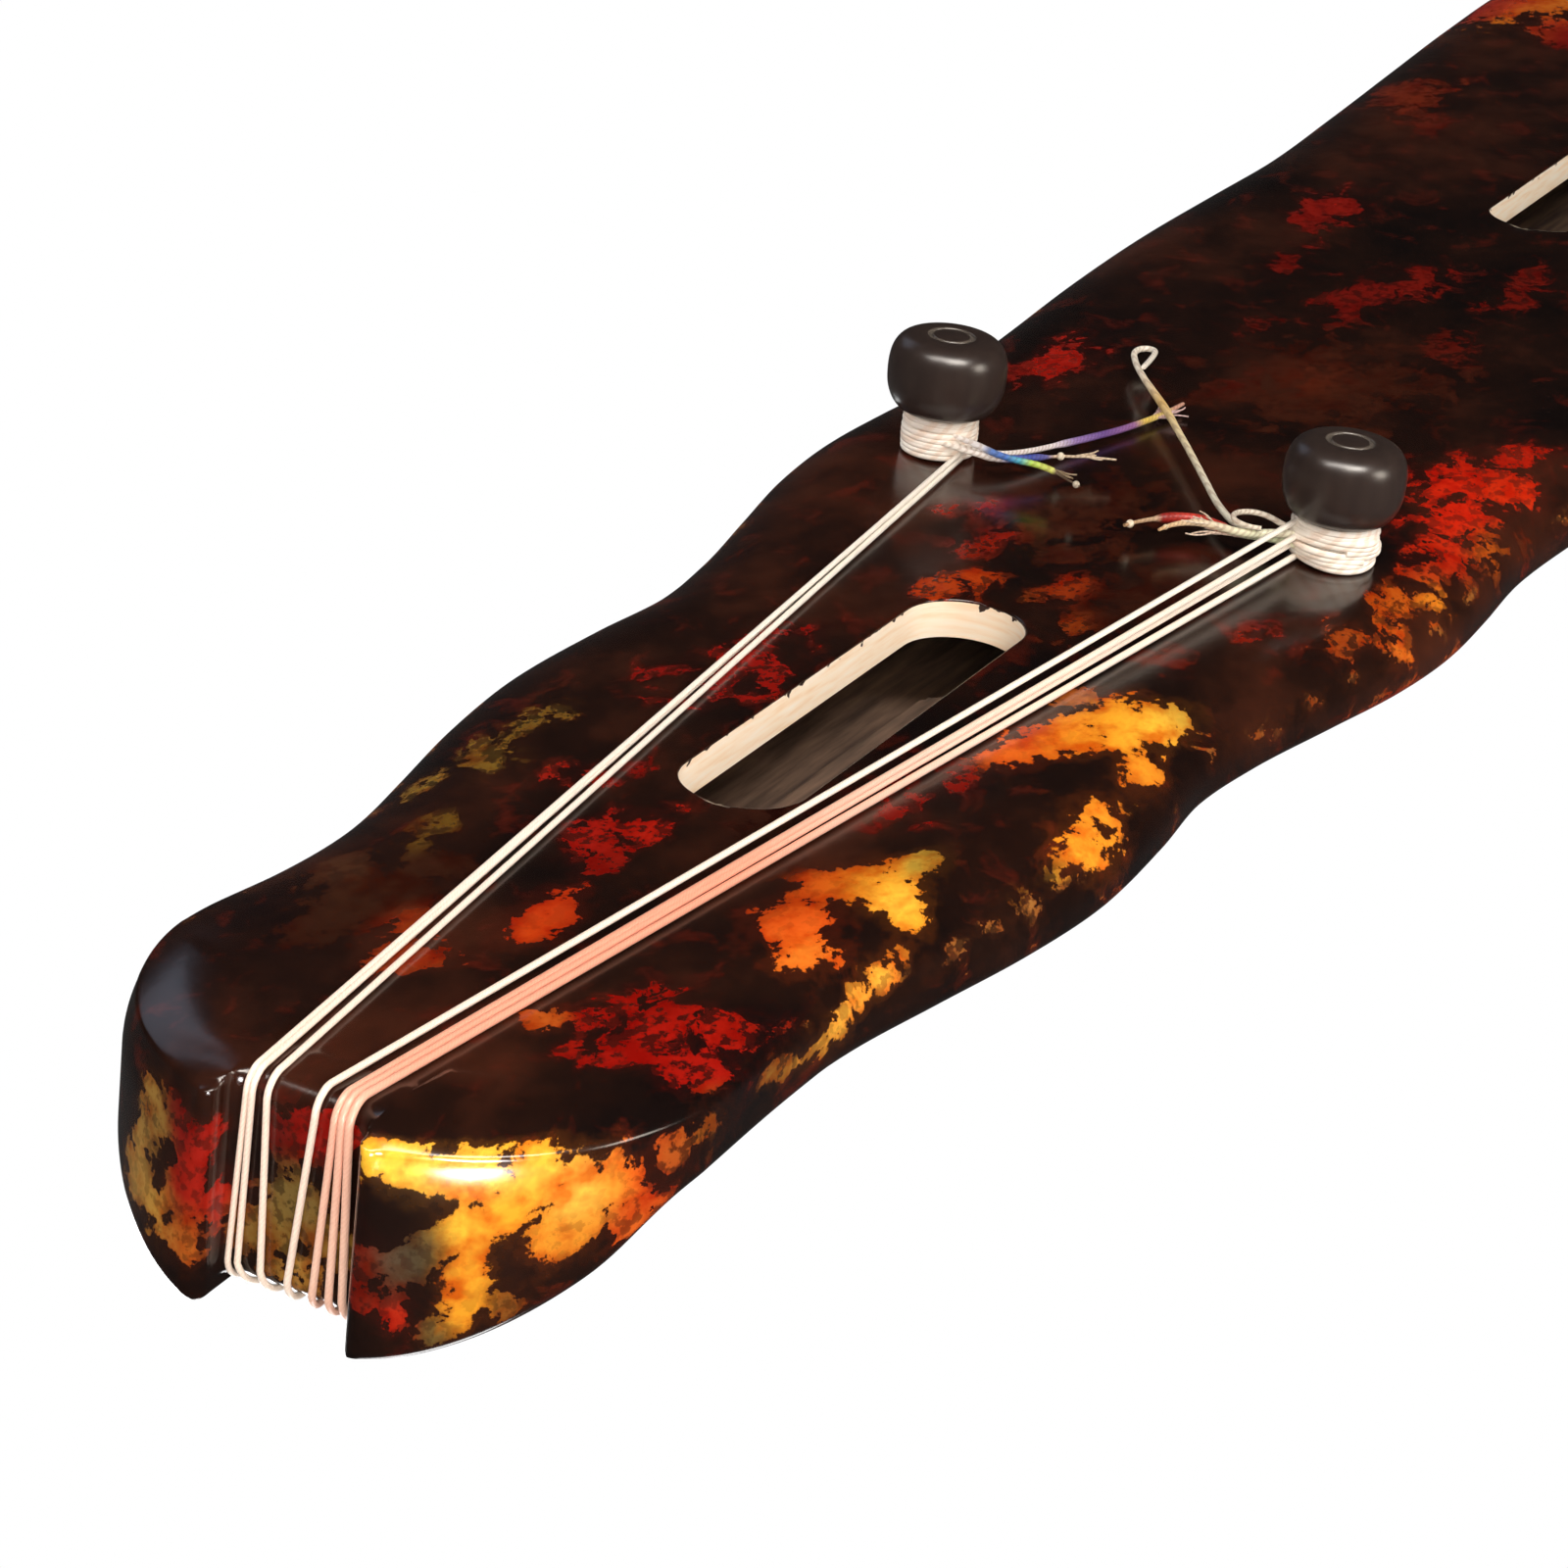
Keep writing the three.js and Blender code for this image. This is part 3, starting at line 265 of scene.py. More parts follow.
# Routes of the ends, counted from the middle of the foot's neck at the underside
end_routes = [
    [
        (-5.4, -0.3, -3.8), (-5.4, -3.5, -3.9), (-5.4, -7.0, -3.9), (-5.4, -10.5, -3.9),
        (-5.7, -14.0, -3.9), (-5.9, -17.5, -3.9), (-4.0, -21.5, -3.9), (0.2, -25.5, -3.9),
        (5.8, -29.8, -3.9), (14.5, -35.5, -3.9), (23.5, -41.4, -3.9), (32.5, -47.4, -4.0),
        (41.5, -53.5, -4.0), (51.0, -60.0, -4.1), (60.0, -66.7, -4.1), (68.0, -72.7, -4.1),
        (75.5, -77.8, -4.1), (80.2, -80.5, -4.2), (83.4, -81.9, -4.3), (86.0, -81.9, -4.5),
        (87.5, -80.3, -4.7), (86.8, -78.3, -4.9), (83.8, -77.1, -5.1), (77.5, -75.7, -5.6),
        (71.0, -74.6, -6.0),
    ],
    [
        (-6.9, -0.3, -3.8), (-6.9, -3.5, -3.8), (-6.9, -7.0, -3.8), (-7.2, -10.2, -3.9),
        (-8.2, -13.4, -4.0), (-9.6, -16.6, -4.1), (-9.9, -20.0, -4.1), (-9.0, -23.4, -4.1),
        (-8.3, -26.6, -4.1), (-8.8, -29.6, -4.1), (-10.6, -32.4, -4.1), (-13.2, -34.8, -4.1),
        (-16.2, -36.7, -4.1), (-19.4, -38.2, -4.1), (-22.8, -39.4, -4.1),
    ],
    [
        (-5.4, -0.3, -6.4), (-5.4, -3.0, -6.4), (-5.4, -5.7, -6.5), (-5.2, -8.3, -6.6),
        (-4.4, -10.8, -6.7), (-3.2, -13.2, -6.8), (-2.5, -15.6, -6.9), (-3.0, -18.0, -7.0),
        (-4.6, -19.7, -7.1), (-6.8, -20.5, -7.2), (-9.1, -20.2, -7.3), (-11.0, -19.0, -7.3),
        (-12.1, -17.1, -7.3), (-12.4, -14.9, -7.3), (-11.8, -12.7, -7.3),
    ],
    [
        (-6.9, -0.3, -6.5), (-6.9, -3.0, -6.4), (-7.0, -5.7, -6.2), (-7.6, -8.3, -6.0),
        (-8.8, -10.8, -5.8), (-10.4, -13.1, -5.6), (-11.9, -15.5, -5.5), (-12.6, -18.2, -5.4),
        (-12.4, -21.0, -5.4), (-12.3, -23.8, -5.3), (-13.2, -26.4, -5.3), (-15.1, -28.5, -5.3),
        (-17.5, -30.0, -5.3), (-20.2, -30.9, -5.3), (-23.0, -31.4, -5.3),
    ],
    [
        (-6.9, 0.3, -4.9), (-6.9, 3.5, -4.9), (-7.1, 6.7, -4.9), (-7.5, 9.9, -4.9),
        (-7.6, 13.1, -4.9), (-7.1, 16.2, -4.9), (-5.6, 19.1, -4.9), (-3.3, 21.4, -4.9),
        (-0.6, 23.4, -4.9), (2.1, 25.4, -4.8), (4.6, 27.5, -4.8), (6.9, 29.8, -4.7),
        (8.9, 32.3, -4.7), (10.6, 35.0, -4.6), (12.0, 37.8, -4.6),
    ],
    [
        (-5.4, 0.3, -4.7), (-5.4, 3.8, -4.7), (-5.3, 7.3, -4.6), (-4.6, 10.7, -4.4),
        (-2.8, 13.8, -4.1), (0.2, 16.4, -3.8), (4.2, 18.4, -3.5), (8.8, 20.0, -3.2),
        (13.8, 21.4, -2.9), (19.0, 22.8, -2.6), (24.4, 24.3, -2.3), (29.8, 25.8, -2.1),
        (35.2, 27.3, -1.9), (40.8, 28.7, -1.8), (46.6, 30.0, -1.8), (52.6, 31.1, -1.8),
        (58.6, 32.0, -1.9), (64.6, 32.6, -2.0),
    ],
    [
        (-5.4, 0.3, -6.8), (-5.4, 3.2, -6.8), (-5.5, 6.1, -6.7), (-5.9, 9.0, -6.6),
        (-6.6, 11.8, -6.5), (-7.6, 14.6, -6.5), (-8.6, 17.4, -6.5), (-9.0, 20.3, -6.5),
        (-8.7, 23.2, -6.4), (-8.2, 26.1, -6.4), (-8.2, 29.0, -6.3), (-9.1, 31.7, -6.3),
        (-10.5, 34.2, -6.2), (-11.9, 36.8, -6.2), (-13.0, 39.6, -6.1),
    ],
]
# Colours along each end as shares of its length, and its thickness there as shares of the whole
end_colours = [
    [(0, "#faeadc"), (0.1, "#f4f4e4"), (0.3, "#fbf7e4"), (0.5, "#f8e9bc"), (0.62, "#f0cc84"),
     (0.75, "#f8f0e0"), (1, "#fdfbf6")],
    [(0, "#faeadc"), (0.25, "#dcecc8"), (0.4, "#f6f3da"), (0.45, "#cc3028"), (0.62, "#e0483a"),
     (0.78, "#8f1a16"), (0.81, "#cdb193"), (1, "#b39372")],
    [(0, "#faeadc"), (0.4, "#fdf5e8"), (1, "#fbf2e2")],
    [(0, "#fbf4e6"), (0.4, "#eef2d4"), (0.6, "#faeed4"), (0.8, "#ecd0ac"), (1, "#dcb88c")],
    [(0, "#fbf4ea"), (0.38, "#f4eeee"), (0.44, "#5a6cc8"), (0.54, "#3a4fae"), (0.64, "#6a68b0"),
     (0.68, "#d6c2ac"), (1, "#e6d4ba")],
    [(0, "#fbf6ee"), (0.38, "#f4eef4"), (0.48, "#9a80c4"), (0.6, "#6f529e"), (0.74, "#9a6ca8"),
     (0.79, "#f0d468"), (0.9, "#f4e29a"), (0.94, "#d8a492"), (1, "#c99c8c")],
    [(0, "#fbf4ea"), (0.34, "#f0eef4"), (0.4, "#6e90d8"), (0.5, "#4a78d0"), (0.58, "#52b4cc"),
     (0.64, "#b4dc5a"), (0.78, "#eef486"), (0.81, "#7b6a58"), (1, "#6a5c50")],
]
end_thickness_shares = [
    [(0, 1), (0.5, 1), (0.62, 1.25), (0.72, 1), (1, 0.8)],
    [(0, 1), (0.42, 1.05), (0.46, 1.7), (0.76, 1.5), (0.82, 0.65), (1, 0.5)],
    [(0, 1), (1, 0.75)],
    [(0, 1.1), (0.3, 1.45), (0.6, 1.3), (0.8, 0.9), (1, 0.5)],
    [(0, 1), (0.28, 0.95), (0.33, 1.35), (0.6, 1.2), (0.66, 0.55), (1, 0.35)],
    [(0, 1), (0.4, 1), (0.44, 1.35), (0.74, 1.25), (0.85, 1.1), (1, 0.7)],
    [(0, 1), (0.24, 1), (0.28, 1.3), (0.78, 1.2), (0.82, 0.45), (1, 0.3)],
]
# Beads by end: share of the length, radius in mm and colour
bead_places = {
    1: (0.97, 0.9, "#f4ead4"), 3: (0.94, 0.6, "#e8d6b4"), 4: (0.72, 0.9, "#f2ead6"),
    6: (0.98, 0.8, "#cfc7b8"),
}
bead_rings, bead_sides, bead_tip = 13, 20, 0.001
# Frayed strands by end: share where they leave, length in mm, colour, and how many
fray_places = {
    1: (0.36, 13.0, "#f2dccc", 9), 3: (0.55, 10.0, "#f0e2cc", 6), 4: (0.8, 6.0, "#e2d0b8", 4),
    5: (0.88, 9.0, "#e6c8cc", 9), 6: (0.76, 7.0, "#a8967c", 3),
}
strand_points, strand_sides, strand_radii = 15, 6, (0.28, 0.16)
strand_lean, strand_curl, strand_lift = (-0.5, 0.5), (-0.14, 0.14), (-0.12, 0.1)
strand_scatter, strand_length_shares = (-0.3, 0.3), (0.6, 1)


def frayed_strands(path, share, length, count, seed):
    """Thin strands that leave a path at a share of it and spread and curl away: each follows the
    path's direction, bent aside by a power and a sine of its own size."""
    rng = np.random.default_rng(seed)
    start = int(share * (len(path) - 1))
    forward = path[min(start + 3, len(path) - 1)] - path[start - 3]
    forward /= np.linalg.norm(forward)
    aside = np.cross(forward, (0, 0, 1))
    t = np.linspace(0, 1, strand_points)[:, None]
    strands = []
    for _ in range(count):
        lean, curl, lift = (rng.uniform(*span) for span in (strand_lean, strand_curl, strand_lift))
        start_place = path[start] + rng.uniform(*strand_scatter, 3)
        bend = aside * (lean * t**1.5 + curl * np.sin(6 * t))
        course = forward * t + bend + np.array((0, 0, lift)) * t
        strands.append(start_place + length * rng.uniform(*strand_length_shares) * course)
    return strands


for i, (route, colours, thickness) in enumerate(zip(end_routes, end_colours, end_thickness_shares)):
    root = np.array([foot_place[0], end_sides[i] * foot_place[1], underside])
    path = smooth_path(np.array(route) + root, end_steps)
    shares = along(path) / along(path)[-1]
    diameter = end_growth * string_diameters[i]
    radius = diameter / 2 * np.interp(shares, *np.array(thickness).T)
    end = add_mesh(
        f"loose_string_end_{i + 1}", [(tube_grid(path, radius), 0, False)], [whipped_silk],
    )
    colour_by_length(end, path, colours)
    extras = []
    if i in bead_places:
        share, size, code = bead_places[i]
        turn = np.linspace(0, np.pi, bead_rings)
        axis = np.repeat(path[int(share * (len(path) - 1))][None], bead_rings, axis=0)
        axis[:, 0] -= size * np.cos(turn)
        bead_radius = np.maximum(size * np.sin(turn), bead_tip)
        bead = add_mesh(
            f"glue_bead_{i + 1}", [(tube_grid(axis, bead_radius, sides=bead_sides), 0, False)],
            [whipped_silk],
        )
        colour_by_length(bead, axis, [(0, code), (1, code)])
        extras.append(bead)
    if i in fray_places:
        share, length, code, count = fray_places[i]
        strands = frayed_strands(path, share, length, count, seed=i)
        taper = np.linspace(*strand_radii, strand_points)
        grids = [(tube_grid(strand, taper, sides=strand_sides), 0, False) for strand in strands]
        fray = add_mesh(f"frayed_silk_{i + 1}", grids, [whipped_silk])
        colour_by_length(fray, np.concatenate(strands), [(0, code), (1, code)])
        extras.append(fray)
    for piece in [end, *extras]:
        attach(piece, "instrument")
    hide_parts(f"string_end_{i + 1}")


# Lacquered sound box. A top board of paulownia and a bottom board of catalpa are hollowed,
# glued and covered with a hard ground of lacquer and horn ash, so that no seam shows. Coloured
# lacquers dabbed on the ground are covered with dark lacquer and rubbed through in patches.
tail_half, feet_half, shoulder_half, neck_half, head_half = 52.0, 77.0, 97.0, 82.5, 89.0
tail_deep, middle_deep, shoulder_deep, head_deep = 37.0, 46.0, 49.0, 47.0
# Half width, and below it the crest's height, by share of the length: each is a share of one of
# the sizes above
outline_shares = [
    (0.041, 1.0, tail_half), (0.065, 0.985, tail_half), (0.085, 1.02, tail_half),
    (0.106, 0.748, feet_half), (0.128, 0.812, feet_half), (0.149, 0.848, feet_half),
    (0.175, 0.836, feet_half), (0.196, 0.81, feet_half), (0.216, 0.84, feet_half),
    (0.241, 0.912, feet_half), (0.261, 0.97, feet_half), (0.282, 1.0, feet_half),
    (0.303, 0.992, feet_half), (0.322, 0.974, feet_half), (0.363, 1.01, feet_half),
    (0.404, 0.839, shoulder_half), (0.445, 0.86, shoulder_half), (0.486, 0.859, shoulder_half),
    (0.519, 0.856, shoulder_half), (0.568, 0.889, shoulder_half), (0.617, 0.93, shoulder_half),
    (0.668, 0.972, shoulder_half), (0.727, 1.0, shoulder_half), (0.768, 0.976, shoulder_half),
    (0.797, 1.1, neck_half), (0.822, 1.035, neck_half), (0.846, 1.0, neck_half),
    (0.875, 1.02, neck_half), (0.903, 0.975, head_half), (0.936, 1.0, head_half),
    (1.0, 0.985, head_half),
]
crown_shares = [
    (0.0, 1.0, tail_deep), (0.035, 1.0, tail_deep), (0.09, 1.04, tail_deep), (0.2, 1.11, tail_deep),
    (0.35, 0.945, middle_deep), (0.5, 1.0, middle_deep), (0.62, 1.02, middle_deep),
    (0.75, 1.0, shoulder_deep), (0.9, 1.0, shoulder_deep), (1.0, 1.0, head_deep),
]
inside_share = 0.9985
edge_height = 14.9
body_round, body_rise, head_round = 22.0, 11.3, 10.0
pillow_reach, pillow_rise, fillet = 17.0, 2.6, 1.0
wall_lean, lean_height, lean_width, lean_rows = 1.5, 8.0, 12.0, 9
round_span, head_span, lobe_span = (46.0, 125.0), (1070.0, 1138.0), (30.0, 62.0)
head_corner, head_corner_half = 24.0, 62.0
channel_half, channel_end, channel_corner, nose_radius = 13.3, 8.0, 3.0, 3.0
lip_radius = 3.4
crown_length, crown_height, crown_edge = 46.0, 41.6, 14.0
crown_power, crown_fullness, crown_level_share = 2.4, 0.75, 0.55
top_reach, top_round, inner_round, inner_round_from = 14.0, 1.6, 1.0, 38.0
nut_top, nut_end, nut_edge = 37.8, 24.3, 0.4
trim_proud, trim_soft, trim_fade = 0.35, 1.2, 6.0
trim_sides = [channel_half, 14.5, 18.0, 24.3, 31.0, 38.2, 44.0, tail_half]
trim_stations = [20.0, 27.7, 29.6, 32.4, 35.8, 39.6, 42.5, 45.0]
# Sound slots: the middle's station, the length and the width
slot_width = 25.0
phoenix_pond = (0.1706 * board_length, 122.0, slot_width)
dragon_pool = (0.586 * board_length, 204.0, slot_width)
slots = (phoenix_pond, dragon_pool)
least_slot_half, rim_round = 0.25, 0.6
floor_height, roof_thickness = 8.5, 9.5
sill_height, sill_margin, sill_edge = 12.0, 5.0, 1.5
cavity_span, cavity_side = (78.0, board_length - 130), 12.0
peg_station = 1160.8
peg_pool_long, peg_pool_half, peg_pool_deep = 34.0, 64.0, 9.0


def smooth_table(rows, station):
    """A smooth curve through rows of (share of the length, share, size): a cubic between each
    two rows, with the slope at a row that of the parabola through it and its neighbours."""
    x = np.array([row[0] for row in rows]) * board_length
    y = np.array([row[1] * row[2] for row in rows])
    step = np.diff(x)
    rise = np.diff(y) / step
    slope = np.empty_like(y)
    slope[1:-1] = (rise[:-1] * step[1:] + rise[1:] * step[:-1]) / (step[1:] + step[:-1])
    slope[0], slope[-1] = rise[0], rise[-1]
    station = np.clip(station, x[0], x[-1])
    i = np.clip(np.searchsorted(x, station) - 1, 0, len(step) - 1)
    t = (station - x[i]) / step[i]
    return (
        y[i] * (1 + 2 * t) * (1 - t) ** 2
        + slope[i] * step[i] * t * (1 - t) ** 2
        + y[i + 1] * t**2 * (3 - 2 * t)
        + slope[i + 1] * step[i] * t**2 * (t - 1)
    )


def ease(value, low, high):
    """From 0 at low to 1 at high, level at both ends: 3t² - 2t³."""
    t = np.clip((value - low) / (high - low), 0, 1)
    return t * t * (3 - 2 * t)


def quarter(distance, radius):
    """Height lost at a rounded edge: a quarter circle of that radius, by the distance in."""
    t = np.clip(1 - distance / radius, 0, 1)
    return radius * (1 - np.sqrt(1 - t * t))


tail_centre = math.sqrt(tail_half**2 - channel_half**2)


def plan_half(station):
    """Half width of the plan: a round tail end, the wavy sides and the rounded head corners."""
    sides = smooth_table(outline_shares, station) * inside_share
    end = np.sqrt(np.clip(tail_half**2 - (tail_centre - station) ** 2, 0, None))
    corner = np.sqrt(1 - np.clip(1 - (board_length - station) / head_corner, 0, 1) ** 2)
    half = head_corner_half + (sides - head_corner_half) * corner
    return np.where(station < tail_centre, end, half)


def arch(station, y):
    """Top board above the underside: a parabola across, from the edge up to the middle line."""
    half = np.maximum(smooth_table(outline_shares, station), tail_half)
    crest = smooth_table(crown_shares, station)
    return edge_height + (crest - edge_height) * (1 - np.clip(np.abs(y) / half, 0, 1) ** 2)


def lobe(station, y):
    """Tail lobes above the underside: a full arch across that sinks to the board further in."""
    share = np.clip(np.abs(y) / tail_half, 0, 1)
    full = crown_edge + (crown_height - crown_edge) * (1 - share**crown_power) ** crown_fullness
    sunk = ease(station, crown_length * crown_level_share, crown_length)
    return full + (arch(station, y) - full) * sunk


def rounding(station, distance):
    """Rise of the underside towards the outline, by the distance in from it: a wide quarter
    ellipse along the body, and a shallow pillow with a narrow fillet round the tail."""
    share = ease(station, *round_span)
    wide = body_round + (head_round - body_round) * ease(station, *head_span)
    ellipse = body_rise * quarter(distance, wide) / wide
    pillow = pillow_rise * np.clip(1 - distance / pillow_reach, 0, 1) ** 2
    return (pillow + quarter(distance, fillet)) * (1 - share) + ellipse * share


def place_grid(station, y, height):
    """Points in mm from stations, sides and heights above the underside."""
    station, y, height = np.broadcast_arrays(station, y, height)
    return np.stack([station - board_length / 2, y, height + underside], axis=-1)


def slot_distance(station, y, slot):
    """Distance outside a slot with round ends. It is negative inside the slot."""
    middle, length, width = slot
    beyond = np.clip(np.abs(station - middle) - (length - width) / 2, 0, None)
    return np.hypot(beyond, y) - width / 2


def slot_half(station):
    """Half width of whichever slot a station crosses, from the circle of the slot's round end, and
    nothing elsewhere or where the circle is only grazed."""
    half = np.zeros_like(station)
    for middle, length, width in slots:
        beyond = np.clip(np.abs(station - middle) - (length - width) / 2, 0, None)
        half = np.maximum(half, np.sqrt(np.clip((width / 2) ** 2 - beyond**2, 0, None)))
    return np.where(half < least_slot_half, 0, half)


def trim_step(station, y):
    """The tail trim is a slip of wood laid a little proud: its height is full beyond a line that
    curves from the edge to the channel, and eases to nothing there."""
    line = np.interp(np.abs(y), trim_sides, trim_stations)
    return trim_proud * (1 - ease(station, line - trim_soft, line + trim_soft))


# Stations along the body, closer at the round ends of the slots, at the tail and at the head
lobe_end, near_step, far_from, far_step, least_step = 60.0, 3.0, 360.0, 7.0, 0.02
round_turn = np.linspace(0, np.pi / 2, 16)
slot_rows = [
    middle + side * (length / 2 - width / 2 * (1 - np.cos(round_turn)))
    for middle, length, width in slots
    for side in (-1, 1)
]
peg_pool_rows = peg_station + peg_pool_long * np.array([-0.5, 0.5])
head_rows = board_length - head_corner * (1 - np.sin(round_turn))
body_rows = np.concatenate([
    np.linspace(crown_length, lobe_end, 12), np.arange(lobe_end + 2, far_from, near_step),
    np.arange(far_from, board_length - head_corner, far_step), head_rows, peg_pool_rows, *slot_rows,
])
body_rows = np.unique(np.round(body_rows, 3))
body_rows = body_rows[np.concatenate([[True], np.diff(body_rows) > least_step])]
peg_pool_first, peg_pool_last = np.searchsorted(body_rows, peg_pool_rows - least_step / 2)

# Rows round a tail lobe. From the nose, inner points run down the channel's wall and along its
# line, and outer points run round the arc. Straight lines join them.
nose_y = channel_half + nose_radius
nose_station = tail_centre - math.sqrt((tail_half - nose_radius) ** 2 - nose_y**2)
arc_start = math.atan2(nose_y, nose_station - tail_centre)
arc_stop = math.acos((crown_length - tail_centre) / tail_half)
nose_middle = math.radians(215)
lip_steps, lip_end = [0, 0.15, 0.5, 1.0, 1.7, 2.5, 3.4], 4.6
line_start = channel_end - channel_corner
inward = np.concatenate([lip_steps, np.linspace(lip_end, crown_length - line_start, 30)])
inner_nose = np.linspace(nose_middle, math.radians(270), 8)
outer_nose = np.linspace(nose_middle, arc_start, 8)
inner_line = line_start + inward
inner_s = np.concatenate([nose_station + nose_radius * np.cos(inner_nose), inner_line])
inner_y = np.concatenate([
    nose_y + nose_radius * np.sin(inner_nose), np.full(len(inner_line), channel_half),
])
outer_turn = np.concatenate([outer_nose, np.linspace(arc_start, arc_stop, len(inner_line) + 1)[1:]])
on_nose = np.arange(len(outer_turn)) < len(outer_nose)
outer_s = np.where(
    on_nose, nose_station + nose_radius * np.cos(outer_turn),
    tail_centre + tail_half * np.cos(outer_turn),
)
outer_y = np.where(
    on_nose, nose_y + nose_radius * np.sin(outer_turn), tail_half * np.sin(outer_turn),
)
wall_rows = len(inner_nose) + 1
lobe_rows = len(inner_s)

body_more = len(body_rows) - 1
side_s = np.concatenate([outer_s, body_rows[1:]])[:, None]
side_y = np.concatenate([outer_y, plan_half(body_rows[1:])])[:, None]
line_s = np.concatenate([inner_s, body_rows[1:]])[:, None]
line_y = np.concatenate([inner_y, np.full(body_more, channel_half)])[:, None]
out_s = np.concatenate([np.cos(outer_turn), np.zeros(body_more)])[:, None]
out_y = np.concatenate([np.sin(outer_turn), np.ones(body_more)])[:, None]
lean = wall_lean * (1 - ease(side_s, *lobe_span))
lean = lean * ease(np.arange(len(side_s)), 0, lean_rows)[:, None]
reach = np.hypot(side_s - line_s, side_y - line_y)
on_lobe = np.arange(len(side_s))[:, None] < lobe_rows
flat_steps, round_share, least_reach = 14, 0.8, 1e-6


def across(rounded, flat_steps, round_steps):
    """Distances in from the outline for each row: steps over the flat part, of which the last
    but one ends at the peg pool's edge in its rows, and steps of equal angle over the rest, which
    takes at most its share of the row. Round the tail the flat steps grow with the square of
    their number, so that they are close along the channel's rounded edge."""
    rounded = np.minimum(rounded, round_share * reach)
    split = np.full_like(reach, 1 - 1 / flat_steps)
    pool_rows = slice(lobe_rows - 1 + peg_pool_first, lobe_rows + peg_pool_last)
    split[pool_rows] = (peg_pool_half - channel_half) / (reach - rounded)[pool_rows]
    power = 2 - ease(side_s, *lobe_span)
    flat = np.linspace(0, 1, flat_steps)[None, :] ** power
    shares = np.concatenate([flat * split, np.ones_like(split)], axis=1)
    turn = np.linspace(0, np.pi / 2, round_steps)[None, 1:]
    over_round = rounded * (1 - np.sin(turn))
    return np.concatenate([reach - (reach - rounded) * shares, over_round], axis=1)


def on_ruling(distance):
    """Plan points at that distance in from the outline on the line that joins each row."""
    share = np.divide(distance, reach, out=np.zeros_like(distance), where=reach > 1e-9)
    return side_s + (line_s - side_s) * share, side_y + (line_y - side_y) * share


def from_channel(station, y):
    """Distance from the channel's wall, or from its inner end further along."""
    beyond = np.hypot(station - line_start, y - channel_half)
    return np.where(station < line_start, y - channel_half, beyond)


# Underside, from the channel's line out to the outline
low_rounded = pillow_reach + (body_round - pillow_reach) * ease(side_s, *round_span)
low_in = across(low_rounded, flat_steps, round_steps=18)
low_s, low_y = on_ruling(low_in)
near_nose = quarter(np.clip(from_channel(low_s, low_y), 0, None), fillet)
near_edge = quarter(low_in, fillet) * (1 - ease(low_s, *round_span))
low_z = rounding(low_s, low_in)
low_z += np.where(on_lobe, np.hypot(near_edge, near_nose) - near_edge, 0)
trim_share = np.clip(low_in / np.maximum(np.minimum(reach, pillow_reach), least_reach), 0, 1)
trim_near = ease(low_s, channel_end, channel_end + trim_fade)
low_z -= trim_step(low_s, low_y) * trim_share * trim_near
lean_share = np.clip(1 - low_in / np.maximum(np.minimum(reach, lean_width), least_reach), 0, 1) ** 2
low_s -= lean * out_s * lean_share
low_y -= lean * out_y * lean_share

# Top, from the outline in to the channel's line
top_in = across(np.full_like(reach, top_reach), flat_steps=15, round_steps=14)[:, ::-1]
top_s, top_y = on_ruling(top_in)
top_z = np.where(top_s < crown_length, lobe(top_s, top_y), arch(top_s, top_y))
top_z -= quarter(top_in, top_round)
inner_soft = quarter(np.clip(reach - top_in, 0, None), inner_round)
inner_soft = inner_soft * (1 - ease(top_s, inner_round_from, crown_length))
top_z -= np.where(on_lobe, inner_soft, 0)

# Middle strip between the two channel lines, first at the tail
corner_turn = np.linspace(0, np.pi / 2, 7)[1:]
strip_steps = [0, 0.08, 0.3, 0.7, 1.5, 4.0, 7.0, channel_half - channel_corner]
strip_y = np.concatenate([
    strip_steps, channel_half - channel_corner + channel_corner * np.sin(corner_turn),
])[None, :]
strip_start = np.concatenate([
    np.full(len(strip_steps), channel_end), line_start + channel_corner * np.cos(corner_turn),
])[None, :]
strip_share = (inward / inward[-1])[:, None]
strip_s = strip_start + (crown_length - strip_start) * strip_share
lip_share = np.clip((channel_half - strip_y) / channel_corner, 0, 1)
strip_lip = fillet + (lip_radius - fillet) * lip_share
lip_drop = quarter(strip_s - strip_start, strip_lip)
strip_trim = trim_step(strip_s, strip_y) * ease(strip_s, channel_end, channel_end + trim_fade)
strip_low = lip_drop - strip_trim
nut_drop = ease(strip_s, nut_end - nut_edge, nut_end + nut_edge)
strip_top = nut_top + (arch(strip_s, strip_y) - nut_top) * nut_drop - lip_drop
line_rise = low_z[wall_rows - 1:lobe_rows, :1] - strip_low[:, -1:]
strip_low += line_rise * ease(strip_y, channel_half / 2, channel_half)
face_power = 1.3
face_share = np.linspace(0, 1, 14)[:, None] ** face_power
face_z = strip_low[:1] + (strip_top[:1] - strip_low[:1]) * face_share

# Channel wall on the lobe's side, below and above the height where the end face stops
split_height = strip_top[0, -1]
channel_s, channel_y = inner_s[:wall_rows][None, :], inner_y[:wall_rows][None, :]
channel_low = low_z[:wall_rows, 0][None, :]
channel_below = channel_low + (split_height - channel_low) * face_share
upper_share = np.linspace(0, 1, 4)[:, None]
channel_above = split_height + (top_z[:wall_rows, -1][None, :] - split_height) * upper_share

